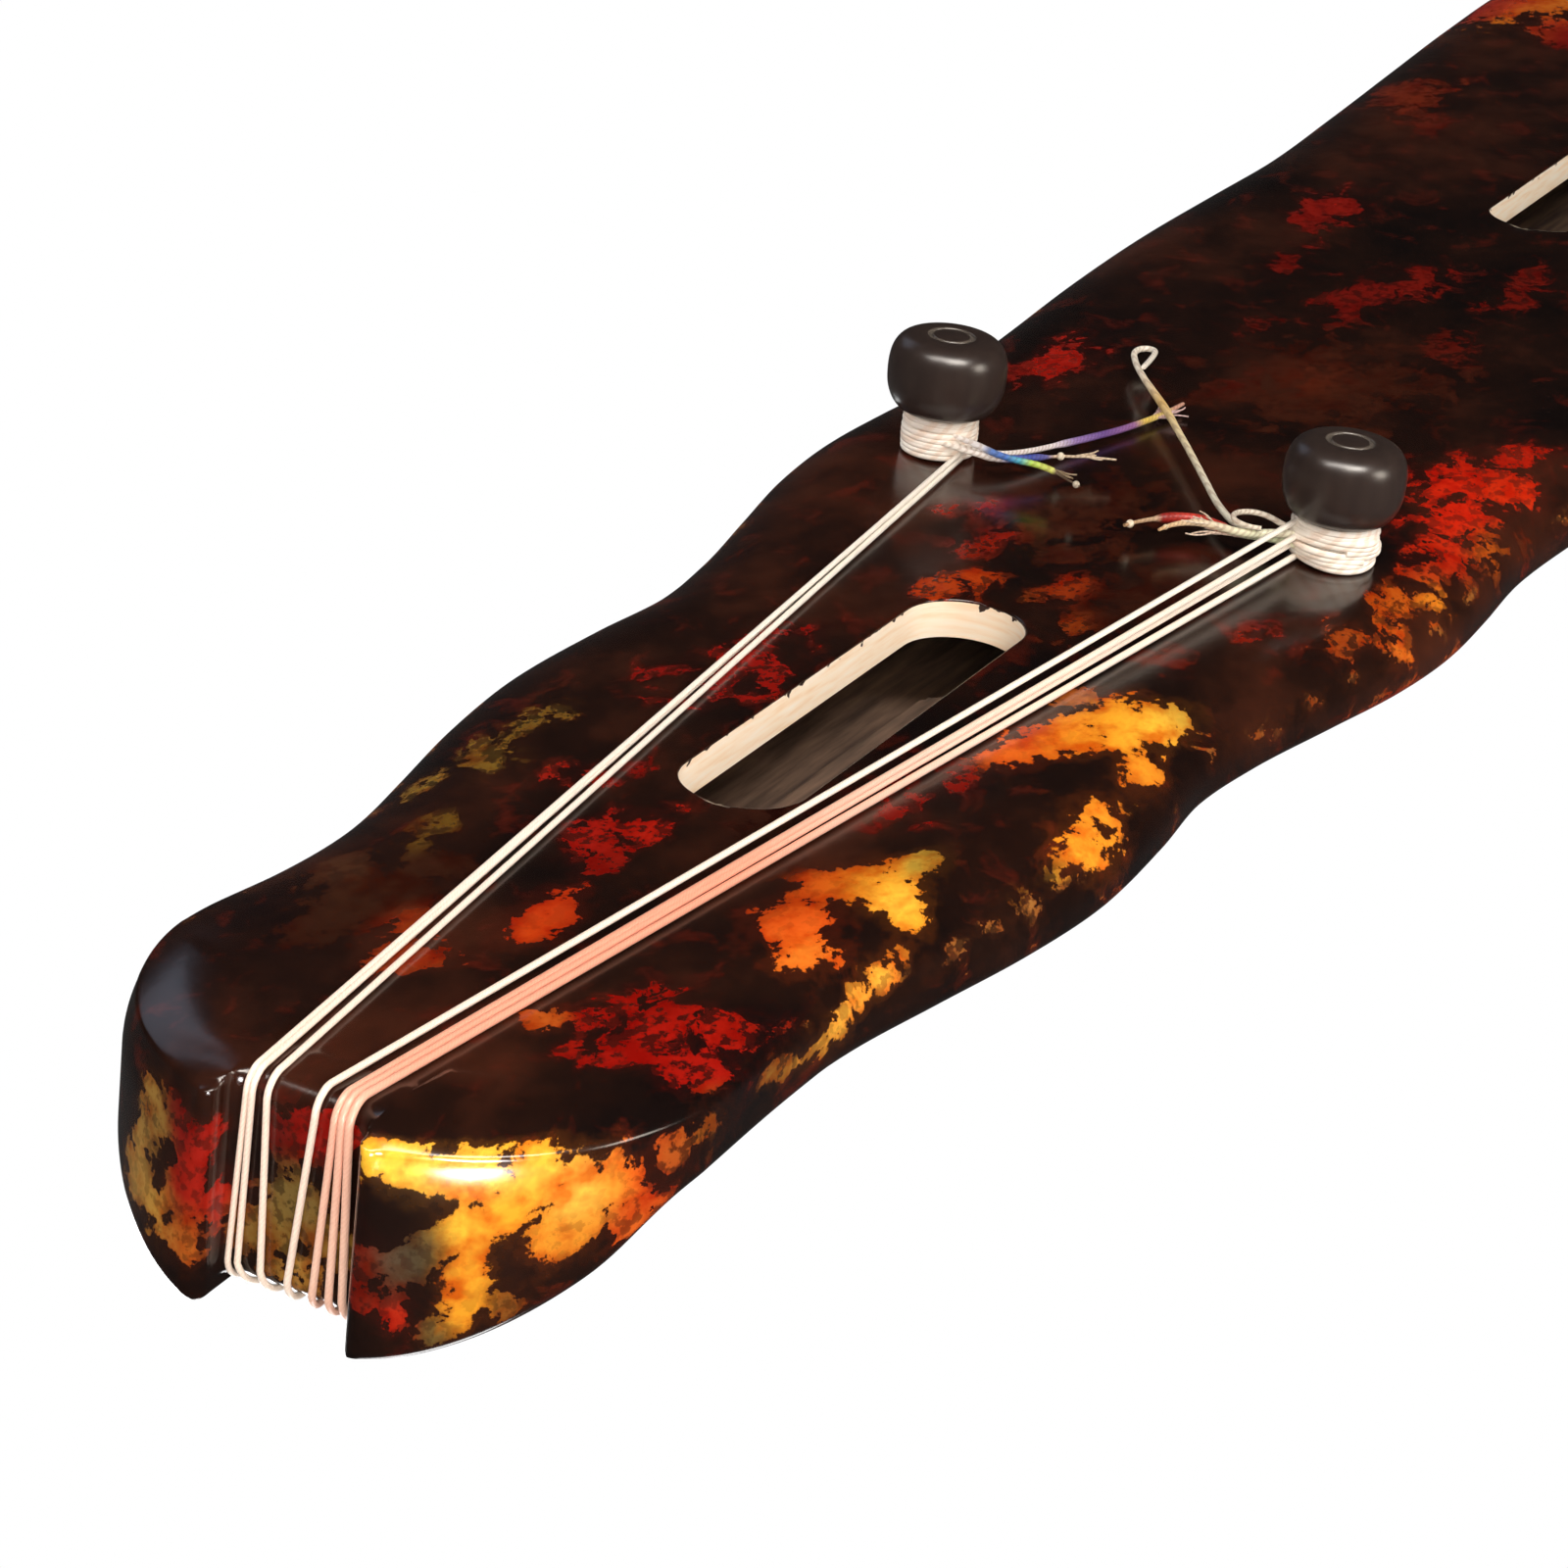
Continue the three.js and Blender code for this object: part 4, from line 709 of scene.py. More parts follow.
# Outer wall, with its rows at the channel wall's heights. It leans in towards the underside
# round the tail.
first_column = np.concatenate([channel_below[:, 0], channel_above[1:, 0]])
wall_share = (first_column - first_column[0]) / (first_column[-1] - first_column[0])
wall_z = low_z[:, -1:] + (top_z[:, :1] - low_z[:, -1:]) * wall_share
wall_in = lean * np.clip(1 - (wall_z - low_z[:, -1:]) / lean_height, 0, 1) ** 2
ridge_low = strip_top[:, -1][None, :]
ridge_z = ridge_low + (top_z[wall_rows - 1:lobe_rows, -1][None, :] - ridge_low) * upper_share

# Middle strip along the body, with the slots left open
body_s = body_rows[:, None]
half_slot = slot_half(body_rows)[:, None]
middle_y = half_slot + (channel_half - half_slot) * strip_y / channel_half
rim_distance = np.min(
    [np.clip(slot_distance(body_s, middle_y, slot), 0, None) for slot in slots], axis=0,
)
middle_low = quarter(rim_distance, rim_round) - trim_step(body_s, middle_y)

low_points = place_grid(low_s, low_y, low_z)
middle_points = place_grid(body_s, middle_y, middle_low)
pool_from, pool_to = lobe_rows - 1 + peg_pool_first, lobe_rows - 1 + peg_pool_last
half_grids = [
    (low_points[:pool_from + 1], 0, True),
    (low_points[pool_from:pool_to + 1, flat_steps - 1:], 0, True),
    (low_points[pool_to:], 0, True),
    (place_grid(side_s - wall_in * out_s, side_y - wall_in * out_y, wall_z), 0, True),
    (place_grid(top_s, top_y, top_z), 0, True),
    (place_grid(strip_s, strip_y, strip_low), 0, True),
    (place_grid(strip_s, strip_y, strip_top), 0, False),
    (place_grid(strip_start, strip_y, face_z), 0, False),
    (place_grid(channel_s, channel_y, channel_below), 0, True),
    (place_grid(channel_s, channel_y, channel_above), 0, True),
    (place_grid(inner_line[None, :], channel_half, ridge_z), 0, True),
    (place_grid(body_s, strip_y, arch(body_s, strip_y)), 0, False),
]

# Walls of the slots are raw wood. The strip stops at each slot and at the peg pool.
wall_heights = np.linspace(0, 1, 9)[None, :]
for first, last in ((0, peg_pool_first), (peg_pool_last, len(body_rows) - 1)):
    half_grids.append((middle_points[first:last + 1], 0, True))
for middle, length, width in slots:
    rows = np.flatnonzero(np.abs(body_rows - middle) <= length / 2 + least_step / 2)
    low_edge = middle_low[rows, :1]
    heights = low_edge + (floor_height - low_edge) * wall_heights
    half_grids.append((place_grid(body_s[rows], half_slot[rows], heights), 1, False))

# Peg pool: a recess with upright walls across the head end
recess = peg_pool_deep * np.linspace(0, 1, 5)
for row, flip in ((peg_pool_first, True), (peg_pool_last, False)):
    edge_y = np.concatenate([middle_y[row], low_y[lobe_rows - 1 + row, 1:flat_steps]])
    half_grids.append((place_grid(body_rows[row], edge_y[None, :], recess[:, None]), 0, flip))
pool_body = slice(peg_pool_first, peg_pool_last + 1)
pool_y = low_y[pool_from:pool_to + 1, :flat_steps]
roof_line = np.concatenate([middle_y[pool_body], pool_y[:, 1:]], axis=1)
half_grids += [
    (place_grid(body_s[pool_body], pool_y[:, -1:], recess[None, :]), 0, False),
    (place_grid(body_s[pool_body], roof_line, peg_pool_deep), 0, True),
]

# Inside of the sound box: floor, sides and roof, with a raised sill over each slot
in_cavity = (body_rows > cavity_span[0]) & (body_rows < cavity_span[1])
cavity_s = body_rows[in_cavity][:, None]
cavity_half = plan_half(cavity_s) - cavity_side
cavity_slot = half_slot[in_cavity]
roof_shares = np.concatenate([np.linspace(0, 0.16, 12), np.linspace(0.2, 1, 9)])[None, :]
cavity_y = cavity_slot + (cavity_half - cavity_slot) * roof_shares
roof_y = cavity_half * roof_shares
roof_z = arch(cavity_s, roof_y) - roof_thickness
for slot in slots:
    within = slot_distance(cavity_s, roof_y, slot) + sill_margin
    roof_z -= sill_height * (1 - ease(within, 0, sill_edge))
side_share = np.linspace(0, 1, 4)
side_heights = floor_height + (roof_z[:, -1:] - floor_height) * side_share[None, :]
half_grids += [
    (place_grid(cavity_s, cavity_y, floor_height), 2, False),
    (place_grid(cavity_s, cavity_half, side_heights), 2, False),
    (place_grid(cavity_s, roof_y, roof_z), 2, True),
]
for row, flip in ((0, True), (-1, False)):
    end_z = floor_height + (roof_z[row][None, :] - floor_height) * side_share[:, None]
    half_grids.append((place_grid(cavity_s[row], roof_y[row][None, :], end_z), 2, flip))

# Head end: a flat face from the last rows of the underside, the wall and the top to one point
last_strip = strip_y[0, ::-1][1:]
end_y = np.concatenate([
    middle_y[-1], low_y[-1, 1:], np.full(wall_z.shape[1] - 2, side_y[-1, 0]), top_y[-1], last_strip,
])
end_z = np.concatenate([
    middle_low[-1], low_z[-1, 1:], wall_z[-1, 1:-1], top_z[-1], arch(board_length, last_strip),
])
end_line = place_grid(board_length, np.append(end_y, end_y[0]), np.append(end_z, end_z[0]))
end_point = place_grid(board_length, end_y.max() / 2, (end_z.min() + end_z.max()) / 2)
half_grids.append((np.stack([end_line, np.broadcast_to(end_point, end_line.shape)]), 0, True))


def both_sides(grids):
    """The grids of one half and their mirror images across the middle plane."""
    mirror = np.array([1.0, -1.0, 1.0])
    return grids + [(points * mirror, index, not flip) for points, index, flip in grids]


# Patches where the lacquer is rubbed through: station, side, height above the underside, reach
# along and across, how torn they are from 0 to 1, and their colour
patches = [
    # orange to olive patch beside the outer strings
    (207, 35, 0, 9, 5, 0.2, "#dc6418"), (213, 37, 0, 9, 5, 0.2, "#e0741a"),
    (222, 40, 0, 11, 6, 0.1, "#ee9a26"), (231, 45, 0, 11, 6, 0.1, "#f2ab2e"),
    (238, 50, 0, 9, 5, 0.1, "#ecb83c"), (246, 52, 0, 6, 4, 0.2, "#b9963a"),
    (219, 57, 0, 8, 4.5, 0.2, "#e09026"), (185, 63, 0, 10, 6, 0.1, "#f0a62c"),
    (193, 58, 0, 7, 5, 0.2, "#e8982a"), (176, 61, 0, 4, 3, 0.5, "#c98a2a"),
    (236, 33, 0, 6, 3, 0.5, "#8e4a1a"),
    # orange and gold patches towards the tail
    (111, 35, 0, 9, 6, 0.2, "#d4581a"), (119, 31, 0, 9, 4, 0.4, "#a8420f"),
    (127, 32, 0, 9, 4, 0.3, "#c65a16"), (105, 40, 0, 7, 4.5, 0.2, "#e8842a"),
    (134, 36, 0, 8, 4, 0.2, "#c8781e"), (137, 41, 0, 8, 5, 0.1, "#f0b236"),
    (133, 45, 0, 6, 4, 0.1, "#f4c044"), (147, 42, 0, 6, 3, 0.3, "#a8923a"),
    (129, 49, 1, 6, 4, 0.2, "#eaa52e"), (121, 51, 3, 5, 3, 0.5, "#d98e2a"),
    (113, 52, 4.5, 6, 3, 0.6, "#e2a036"), (103, 52, 6, 4.5, 2.6, 0.6, "#d99a34"),
    (95, 52, 8, 6, 3.4, 0.5, "#dba23c"), (86, 52, 8, 5, 3, 0.6, "#c8923a"),
    (74, 51, 7, 7, 3, 0.8, "#8a6a2c"),
    # the red cluster at the tail
    (54, 33, 0, 8, 7, 0.9, "#8e1208"), (62, 38, 0, 11, 9, 1.0, "#9c1409"),
    (57, 44, 0, 8, 6, 1.0, "#8a1008"), (68, 32, 0, 7, 5, 1.0, "#821006"),
    (71, 43, 0, 8, 6, 1.0, "#8a1206"), (78, 50, 0, 9, 5, 1.0, "#6e1a0a"),
    (50, 26, 0, 5, 3, 0.9, "#8a160a"),
    # orange-red patches between the strings
    (88, -1, 0, 8, 4.4, 0.2, "#b83a10"), (80, 0, 0, 6, 4, 0.3, "#c2440f"),
    (60, -9, 0, 6, 4, 0.4, "#8e3410"), (68, -18, 0, 7, 3.6, 0.4, "#a33a10"),
    (57, -14, 0, 6, 3, 0.5, "#8a3412"), (52, 17, 0, 4, 3, 0.5, "#b0561c"),
    (120, -10, 0, 8, 5, 0.9, "#94160c"), (128, -5, 0, 7, 4, 0.9, "#a01a0c"),
    (112, -4, 0, 6, 3, 1.0, "#7c140a"), (198, -25, 0, 12, 4, 1.0, "#80120c"),
    (216, -26, 0, 11, 5, 0.9, "#98160e"), (228, -24, 0, 8, 4, 1.0, "#7c120c"),
    (192, -33, 0, 8, 4, 1.0, "#74120c"), (207, -18, 0, 8, 3, 1.0, "#8a140c"),
    (136, -24, 0, 6, 4, 0.9, "#8c1c10"), (150, -17, 0, 6, 3, 1.0, "#701008"),
    (166, 28, 0, 9, 4, 1.0, "#7c120a"), (176, 22, 0, 10, 4, 1.0, "#8c140c"),
    (188, 31, 0, 6, 3, 1.0, "#6e1008"),
    # flecks round the slot's head end and by the feet
    (272, -12, 0, 8, 4, 0.9, "#a83a0e"), (281, -9, 0, 7, 4, 0.9, "#b8420e"),
    (290, 8, 0, 9, 4, 0.8, "#9a3610"), (298, -16, 0, 9, 4, 1.0, "#8a1e0c"),
    (307, -14, 0, 7, 3, 1.0, "#a0200e"), (270, 18, 0, 7, 3, 0.9, "#8e3c12"),
    (279, 5, 0, 8, 3, 1.0, "#6e3010"), (313, -31, 0, 6, 3, 0.9, "#8a1a0c"),
    (320, -24, 0, 6, 3, 0.9, "#9a1c0e"), (296, 48, 0, 8, 4, 1.0, "#701a0c"),
    (244, 62, 0, 6, 4, 1.0, "#7a2a10"), (268, 40, 0, 9, 4, 1.0, "#5e1a0c"),
    # orange and red by the near foot and beyond
    (322, 72, 0, 9, 6, 0.8, "#c06a1c"), (334, 66, 0, 9, 5, 0.9, "#a84c12"),
    (346, 73, 0, 9, 5, 0.7, "#d08422"), (308, 66, 0, 9, 4, 1.0, "#8a3c12"),
    (330, 83, 0, 8, 4, 0.8, "#8c6a26"), (356, 66, 0, 8, 5, 0.9, "#a03010"),
    (372, 64, 0, 11, 6, 0.8, "#b8280e"), (392, 58, 0, 13, 7, 0.7, "#c8240c"),
    (408, 52, 0, 13, 7, 0.7, "#d62a0e"), (415, 64, 0, 12, 6, 0.7, "#c8300e"),
    (384, 72, 0, 9, 5, 0.7, "#c86a18"), (430, 58, 0, 14, 7, 0.8, "#b0200c"),
    (402, 40, 0, 10, 4, 0.9, "#8a180c"),
    # red patches on the middle of the board
    (586, -46, 0, 17, 6, 0.5, "#8b160c"), (572, -42, 0, 9, 5, 0.7, "#76120a"),
    (520, -13, 0, 18, 7, 0.8, "#74120a"), (545, -5, 0, 14, 5, 0.8, "#7c160c"),
    (536, -36, 0, 10, 4, 0.8, "#6f140c"), (424, -52, 0, 15, 5, 0.5, "#a01c10"),
    (404, -56, 0, 9, 4, 0.7, "#74160c"), (452, 2, 0, 14, 7, 0.9, "#66250f"),
    (440, -12, 0, 12, 4, 1.0, "#4f160c"), (712, -67, 0, 20, 9, 0.6, "#6a220d"),
    (690, -52, 0, 14, 6, 0.9, "#59190c"), (500, 20, 0, 14, 5, 1.0, "#5c140a"),
    (480, -25, 0, 9, 4, 1.0, "#59120a"), (560, 18, 0, 16, 6, 0.9, "#6f140a"),
    # olive flecks along the edges
    (139, -42, 0, 9, 4, 0.9, "#6e5620"), (103, -34, 0, 9, 3, 1.0, "#5e4618"),
    (157, -42, 0, 9, 3, 1.0, "#6a5220"), (124, -46, 2, 8, 3, 1.0, "#7a6228"),
    (174, -46, 2, 9, 3, 1.0, "#5a4a20"), (80, -36, 0, 10, 7, 0.6, "#3e2416"),
    (150, 60, 2, 9, 3, 1.0, "#5c3e18"), (166, 62, 2, 9, 3, 1.0, "#8a6a26"),
    (205, 63, 2, 7, 3, 1.0, "#6a5220"),
    # outer wall of the near lobe
    (1.6, 18.5, 3, 5, 4, 0.1, "#f2c83e"), (4, 24, 5, 6, 5, 0.1, "#f6d450"),
    (9, 31, 5, 7, 6, 0.0, "#f8cf48"), (16, 38, 6, 8, 6, 0.0, "#f4b436"),
    (13, 35, 11, 7, 6, 0.0, "#f0a028"), (9, 31, 14, 5, 6, 0.1, "#f2b83a"),
    (9, 31.5, 22, 3.6, 5, 0.2, "#e8a42e"), (8.6, 31, 29, 3, 4, 0.3, "#dc9626"),
    (21, 43, 9, 7, 6, 0.1, "#efb84c"), (27, 46, 9, 6, 5, 0.3, "#e0922e"),
    (17, 40, 17, 5, 5, 0.4, "#d98a28"), (22, 44, 16, 5, 4, 0.4, "#cf8226"),
    (31, 48, 9, 5, 5, 0.5, "#d2591a"), (35, 49.5, 14, 5, 4, 0.8, "#b02a10"),
    (30, 48, 16, 5, 4, 0.7, "#c0501c"), (39, 50.5, 8, 6, 4, 0.9, "#9c4a1a"),
    (2.6, 21, 22, 2.6, 6, 0.5, "#4c4234"), (5, 25.5, 18, 3, 5, 0.5, "#443a2a"),
    (3.2, 22, 31, 2.6, 4, 0.6, "#a8240e"), (0.6, 17.5, 24, 2.4, 7, 0.9, "#701c10"),
    (6, 27, 33, 3, 3, 0.6, "#5e4e2c"), (13, 36, 28, 3, 3, 0.6, "#7a4a1c"),
    (50, 51, 6, 7, 4, 1.0, "#7c4a18"),
    # outer wall of the far lobe, and the walls of the channel
    (8, -30, 24, 5, 9, 0.4, "#a8803e"), (6, -27, 14, 4, 7, 0.6, "#8a6a34"),
    (4, -24, 29, 3, 6, 0.5, "#b88a3c"), (1.5, -17.5, 10, 3, 4, 0.9, "#701410"),
    (2.6, -21, 7, 4, 3, 0.9, "#5a1410"), (1.1, -17, 30, 3, 5, 0.6, "#a85c20"),
    (0.4, -15.5, 20, 2.4, 8, 0.6, "#8e1a10"), (3, -13.3, 12, 3, 5, 0.7, "#9c1c12"),
    (5, -13.3, 22, 3, 6, 0.7, "#a01c10"), (8, 2, 8, 2, 4, 0.8, "#8a1812"),
    (8, 6, 5, 2, 4, 0.8, "#9a1a12"), (8, -4, 10, 2, 4, 0.9, "#5a1410"),
    (8, 0, 20, 2, 6, 0.7, "#6e5a30"), (8, 7, 26, 2, 6, 0.7, "#8a6a34"),
    (8, -6, 28, 2, 6, 0.7, "#7c6430"), (8, 3, 33, 2, 5, 0.7, "#a07c3a"),
    (4, 13.3, 16, 3, 6, 0.9, "#6a2014"),
    # brown clouding
    (74, -27, 0, 22, 9, 0.3, "#2e170d"), (150, 18, 0, 26, 8, 0.6, "#26110a"),
    (330, -8, 0, 34, 16, 0.7, "#3c1a0e"), (300, 26, 0, 30, 12, 0.7, "#34160c"),
    (452, 8, 0, 36, 22, 0.7, "#3a1a0f"), (390, 78, 0, 26, 9, 0.6, "#5a260f"),
]


# A patch of the flat underside reaches a little further than written, and one of the walls holds
# back at the arris, where brown flecks run a little in from the outline
flat_growth, edge_hold, colour_reach = 1.18, 1.3, 2.2
arris_in, arris_wide, arris_strength, arris_base, arris_colour = 2.2, 3.0, 0.85, -0.9, "#8a5c2c"


def patch_attributes(points):
    """For each point: how far it lies inside a patch, as the greatest of 1 less its distance
    from a patch's middle in units of that patch's reach; and the colour and tear of the patches
    near it, each weighed by the fourth power of its nearness. Along the arris the strength is
    that of the brown flecks, which falls off evenly to both sides."""
    station = points[:, 0] + board_length / 2
    height = points[:, 2] - underside
    strength = np.full(len(points), -1.0)
    colour = np.zeros((len(points), 4))
    torn = np.zeros(len(points))
    total = np.full(len(points), 1e-9)
    for middle, side, level, long, wide, tear, code in patches:
        away = np.sqrt(
            ((station - middle) / long) ** 2
            + ((points[:, 1] - side) / wide) ** 2
            + ((height - level) / wide) ** 2
        ) / (flat_growth if level == 0 else 1.0)
        away += (level > 0) * np.clip(edge_hold - height, 0, edge_hold)
        strength = np.maximum(strength, 1 - away)
        weight = np.clip(colour_reach - away, 0, None) ** 4
        colour += weight[:, None] * np.array(srgb(code))
        torn += weight * tear
        total += weight
    colour /= total[:, None]
    torn /= total
    inside = smooth_table(outline_shares, station) - np.abs(points[:, 1])
    worn = arris_strength * np.clip(1 - np.abs(inside - arris_in) / arris_wide, 0, 1) + arris_base
    by_arris = (station > round_span[0]) & (height < edge_height) & (worn > strength)
    worn = np.where(by_arris, worn, -1.0)
    in_arris_band = worn > arris_base
    colour[in_arris_band] = srgb(arris_colour)
    torn = np.where(in_arris_band, 1.0, torn)
    strength = np.maximum(strength, worn)
    colour[:, 3] = 1
    return strength, colour, torn


# Rubbed lacquer: a hard smooth gloss over mottled colours. The dark coat fills the lows, and
# the colours break out in ragged islands with fine specks round them. Widths are in mm.
rag_width, fleck_width, dab_width, cloud_width, free_patch_width = 9.0, 2.4, 7.0, 45.0, 60.0


def rubbed_lacquer():
    """Glossy dark lacquer, rubbed through where patch strength and noise together pass a level.
    Out of the photograph's view a broad noise takes the place of the patch strength."""
    material, principled = new_material("rubbed_lacquer", {"Roughness": 0.19, "IOR": 1.48})
    place = add_node(material, "TexCoord")
    along_board = add_node(
        material, "Mapping", {"Vector": place.outputs["Object"]}, {"Scale": (0.72, 1.0, 1.0)},
    )
    elsewhere = add_node(
        material, "Mapping", {"Vector": along_board.outputs["Vector"]},
        {"Location": (3.0, 1.0, 2.0)},
    )
    rags, flecks, clouds, broad, tints, dabs = (
        add_node(
            material, "TexNoise", {"Vector": space.outputs["Vector"]},
            {"Scale": 1 / (width * MM), "Detail": detail, "Roughness": rough, "Distortion": twist},
        )
        for space, width, detail, rough, twist in (
            (along_board, rag_width, 8.0, 0.62, 0.5),
            (along_board, fleck_width, 3.0, 0.6, 0.0),
            (along_board, cloud_width, 6.0, 0.6, 0.0),
            (along_board, free_patch_width, 2.0, 0.5, 0.0),
            (elsewhere, free_patch_width, 1.0, 0.5, 0.0),
            (elsewhere, dab_width, 3.0, 0.55, 0.0),
        )
    )
    strength, tear, colour, free = (
        add_node(material, "Attribute", attribute_name=name)
        for name in ("patch_strength", "patch_tear", "patch_colour", "free_mottle")
    )

    # Patches of the unseen places come from a broad noise alone
    islands = add_node(
        material, "MapRange", {"Value": broad.outputs["Fac"]},
        {"From Min": 0.46, "From Max": 0.68, "To Min": -1.0, "To Max": 0.9},
    )
    free_colour = add_node(
        material, "ValToRGB", {"Fac": tints.outputs["Fac"]},
        stops=[(0.36, "#6a120a"), (0.66, "#d98a26"), (0.48, "#94180c"), (0.58, "#b8431a")],
    )
    level = add_node(
        material, "Mix",
        {0: free.outputs["Fac"], 2: strength.outputs["Fac"], 3: islands.outputs[0]},
        data_type="FLOAT",
    )
    tint = add_node(
        material, "Mix",
        {0: free.outputs["Fac"], 6: colour.outputs["Color"], 7: free_colour.outputs["Color"]},
        data_type="RGBA",
    )

    # Noise is added to the strength, the more so where the patch is torn
    swing = add_node(
        material, "Math", {0: tear.outputs["Fac"]}, {1: 4.4, 2: 1.8}, operation="MULTIPLY_ADD",
    )
    rag_offset = add_node(
        material, "Math", {0: rags.outputs["Fac"]}, {1: 0.5}, operation="SUBTRACT",
    )
    ragged = add_node(
        material, "Math", {0: rag_offset.outputs[0], 1: swing.outputs[0], 2: level.outputs[0]},
        operation="MULTIPLY_ADD",
    )
    fleck_offset = add_node(
        material, "Math", {0: flecks.outputs["Fac"]}, {1: 1.6, 2: -0.8}, operation="MULTIPLY_ADD",
    )
    total = add_node(
        material, "Math", {0: ragged.outputs[0], 1: fleck_offset.outputs[0]}, operation="ADD",
    )

    # The colour breaks out where the sum passes a level, and in specks where the patch is torn
    shown = add_node(
        material, "MapRange", {"Value": total.outputs[0]}, {"From Min": 0.1, "From Max": 0.2},
    )
    specks = add_node(
        material, "MapRange", {"Value": flecks.outputs["Fac"]},
        {"From Min": 0.49, "From Max": 0.57, "To Min": 1.0, "To Max": 0.08},
    )
    broken = add_node(
        material, "Mix", {0: tear.outputs["Fac"], 3: specks.outputs[0]}, {2: 1.0},
        data_type="FLOAT",
    )
    seen_share = add_node(
        material, "Math", {0: shown.outputs[0], 1: broken.outputs[0]}, operation="MULTIPLY",
    )

    # It is darker by a patch's rim, where less of the dark coat is rubbed off, and dabbed unevenly
    deep = add_node(
        material, "MapRange", {"Value": total.outputs[0]}, {"From Min": 0.04, "From Max": 1.05},
    )
    depth_tint = add_node(
        material, "ValToRGB", {"Fac": deep.outputs[0]},
        stops=[(0.0, "#b48474"), (0.62, "#fffef8"), (0.16, "#ead2c2")],
    )
    varied = add_node(
        material, "Mix", {6: tint.outputs[2], 7: depth_tint.outputs["Color"]}, {0: 1.0},
        data_type="RGBA", blend_type="MULTIPLY",
    )
    dab_tint = add_node(
        material, "ValToRGB", {"Fac": dabs.outputs["Fac"]},
        stops=[(0.36, "#e0a47c"), (0.54, "#fffdf8")],
    )
    dabbed = add_node(
        material, "Mix", {6: varied.outputs[2], 7: dab_tint.outputs["Color"]}, {0: 1.0},
        data_type="RGBA", blend_type="MULTIPLY",
    )

    # The dark coat is clouded with brown and red, and stained beside a patch by its colour
    halo = add_node(
        material, "MapRange", {"Value": total.outputs[0]},
        {"From Min": -0.75, "From Max": 0.0, "To Min": 0.0, "To Max": 0.07},
        interpolation_type="SMOOTHSTEP",
    )
    ground = add_node(
        material, "ValToRGB", {"Fac": clouds.outputs["Fac"]},
        stops=[(0.38, "#0e0706"), (0.68, "#3a1b10"), (0.52, "#1c0d08")],
    )
    under_red = add_node(
        material, "MapRange", {"Value": rags.outputs["Fac"]},
        {"From Min": 0.55, "From Max": 0.68, "To Min": 0.0, "To Max": 0.4},
    )
    deep_ground = add_node(
        material, "Mix", {0: under_red.outputs[0], 6: ground.outputs["Color"]},
        {7: srgb("#5e180c")}, data_type="RGBA",
    )
    stained = add_node(
        material, "Mix", {0: halo.outputs[0], 6: deep_ground.outputs[2], 7: varied.outputs[2]},
        data_type="RGBA",
    )
    skin = add_node(
        material, "Mix", {0: seen_share.outputs[0], 6: stained.outputs[2], 7: dabbed.outputs[2]},
        data_type="RGBA",
    )
    swell = add_node(
        material, "Bump", {"Height": clouds.outputs["Fac"]}, {"Strength": 0.12, "Distance": 2 * MM},
    )
    feed(principled, {"Base Color": skin.outputs[2], "Normal": swell.outputs["Normal"]})
    return material


def wood_grain(material, stretch, width, settings, stops):
    """Long grain: noise of a width in mm, drawn out along the wood, and its colours."""
    place = add_node(material, "TexCoord")
    drawn_out = add_node(
        material, "Mapping", {"Vector": place.outputs["Object"]}, {"Scale": stretch},
    )
    grain = add_node(
        material, "TexNoise", {"Vector": drawn_out.outputs["Vector"]},
        {"Scale": 1 / (width * MM), **settings},
    )
    return grain, add_node(material, "ValToRGB", {"Fac": grain.outputs["Fac"]}, stops=stops)


# Cut catalpa at the slots: pale and dry, with chips of the dark ground left along the rim. Its
# real grain is too fine to show, so it is drawn 1.3 mm wide.
chip_width, chip_least, chip_depth, slot_grain_width = 3.2, 0.1, 2.6, 1.3


def chipped_slot_wood():
    """Pale raw wood with long grain. It is dark up to a line near the underside's level, which
    a noise moves up and down."""
    material, principled = new_material("raw_catalpa_slot_wall", {"Roughness": 0.75, "IOR": 1.45})
    _, tone = wood_grain(
        material, (0.1, 0.1, 1.0), slot_grain_width, {"Detail": 3.0},
        [(0.25, "#f8dcbc"), (0.75, "#fff9ee"), (0.5, "#fff0dc")],
    )
    place = add_node(material, "TexCoord")
    axes = add_node(material, "SeparateXYZ", {"Vector": place.outputs["Object"]})
    chips = add_node(
        material, "TexNoise", {"Vector": place.outputs["Object"]},
        {"Scale": 1 / (chip_width * MM), "Detail": 2.0},
    )
    chip_line = add_node(
        material, "MapRange", {"Value": chips.outputs["Fac"]},
        {
            "From Min": 0.52, "From Max": 0.74, "To Min": (underside + chip_least) * MM,
            "To Max": (underside + chip_depth) * MM,
        },
    )
    dark = add_node(
        material, "Math", {0: axes.outputs["Z"], 1: chip_line.outputs[0]}, operation="LESS_THAN",
    )
    mixed = add_node(
        material, "Mix", {0: dark.outputs[0], 6: tone.outputs["Color"]}, {7: srgb("#2a140c")},
        data_type="RGBA",
    )
    feed(principled, {"Base Color": mixed.outputs[2]})
    return material


def planed_wood(name, dark, light, grain_width, values):
    """Planed wood: long grain along the board between two tones, with the same noise as shallow
    bumps."""
    material, principled = new_material(name, values)
    grain, tone = wood_grain(
        material, (0.07, 1.0, 1.0), grain_width, {"Detail": 5.0, "Roughness": 0.6},
        [(0.34, dark), (0.7, light)],
    )
    bump = add_node(
        material, "Bump", {"Height": grain.outputs["Fac"]},
        {"Strength": 0.2, "Distance": 0.15 * MM},
    )
    feed(principled, {"Base Color": tone.outputs["Color"], "Normal": bump.outputs["Normal"]})
    return material
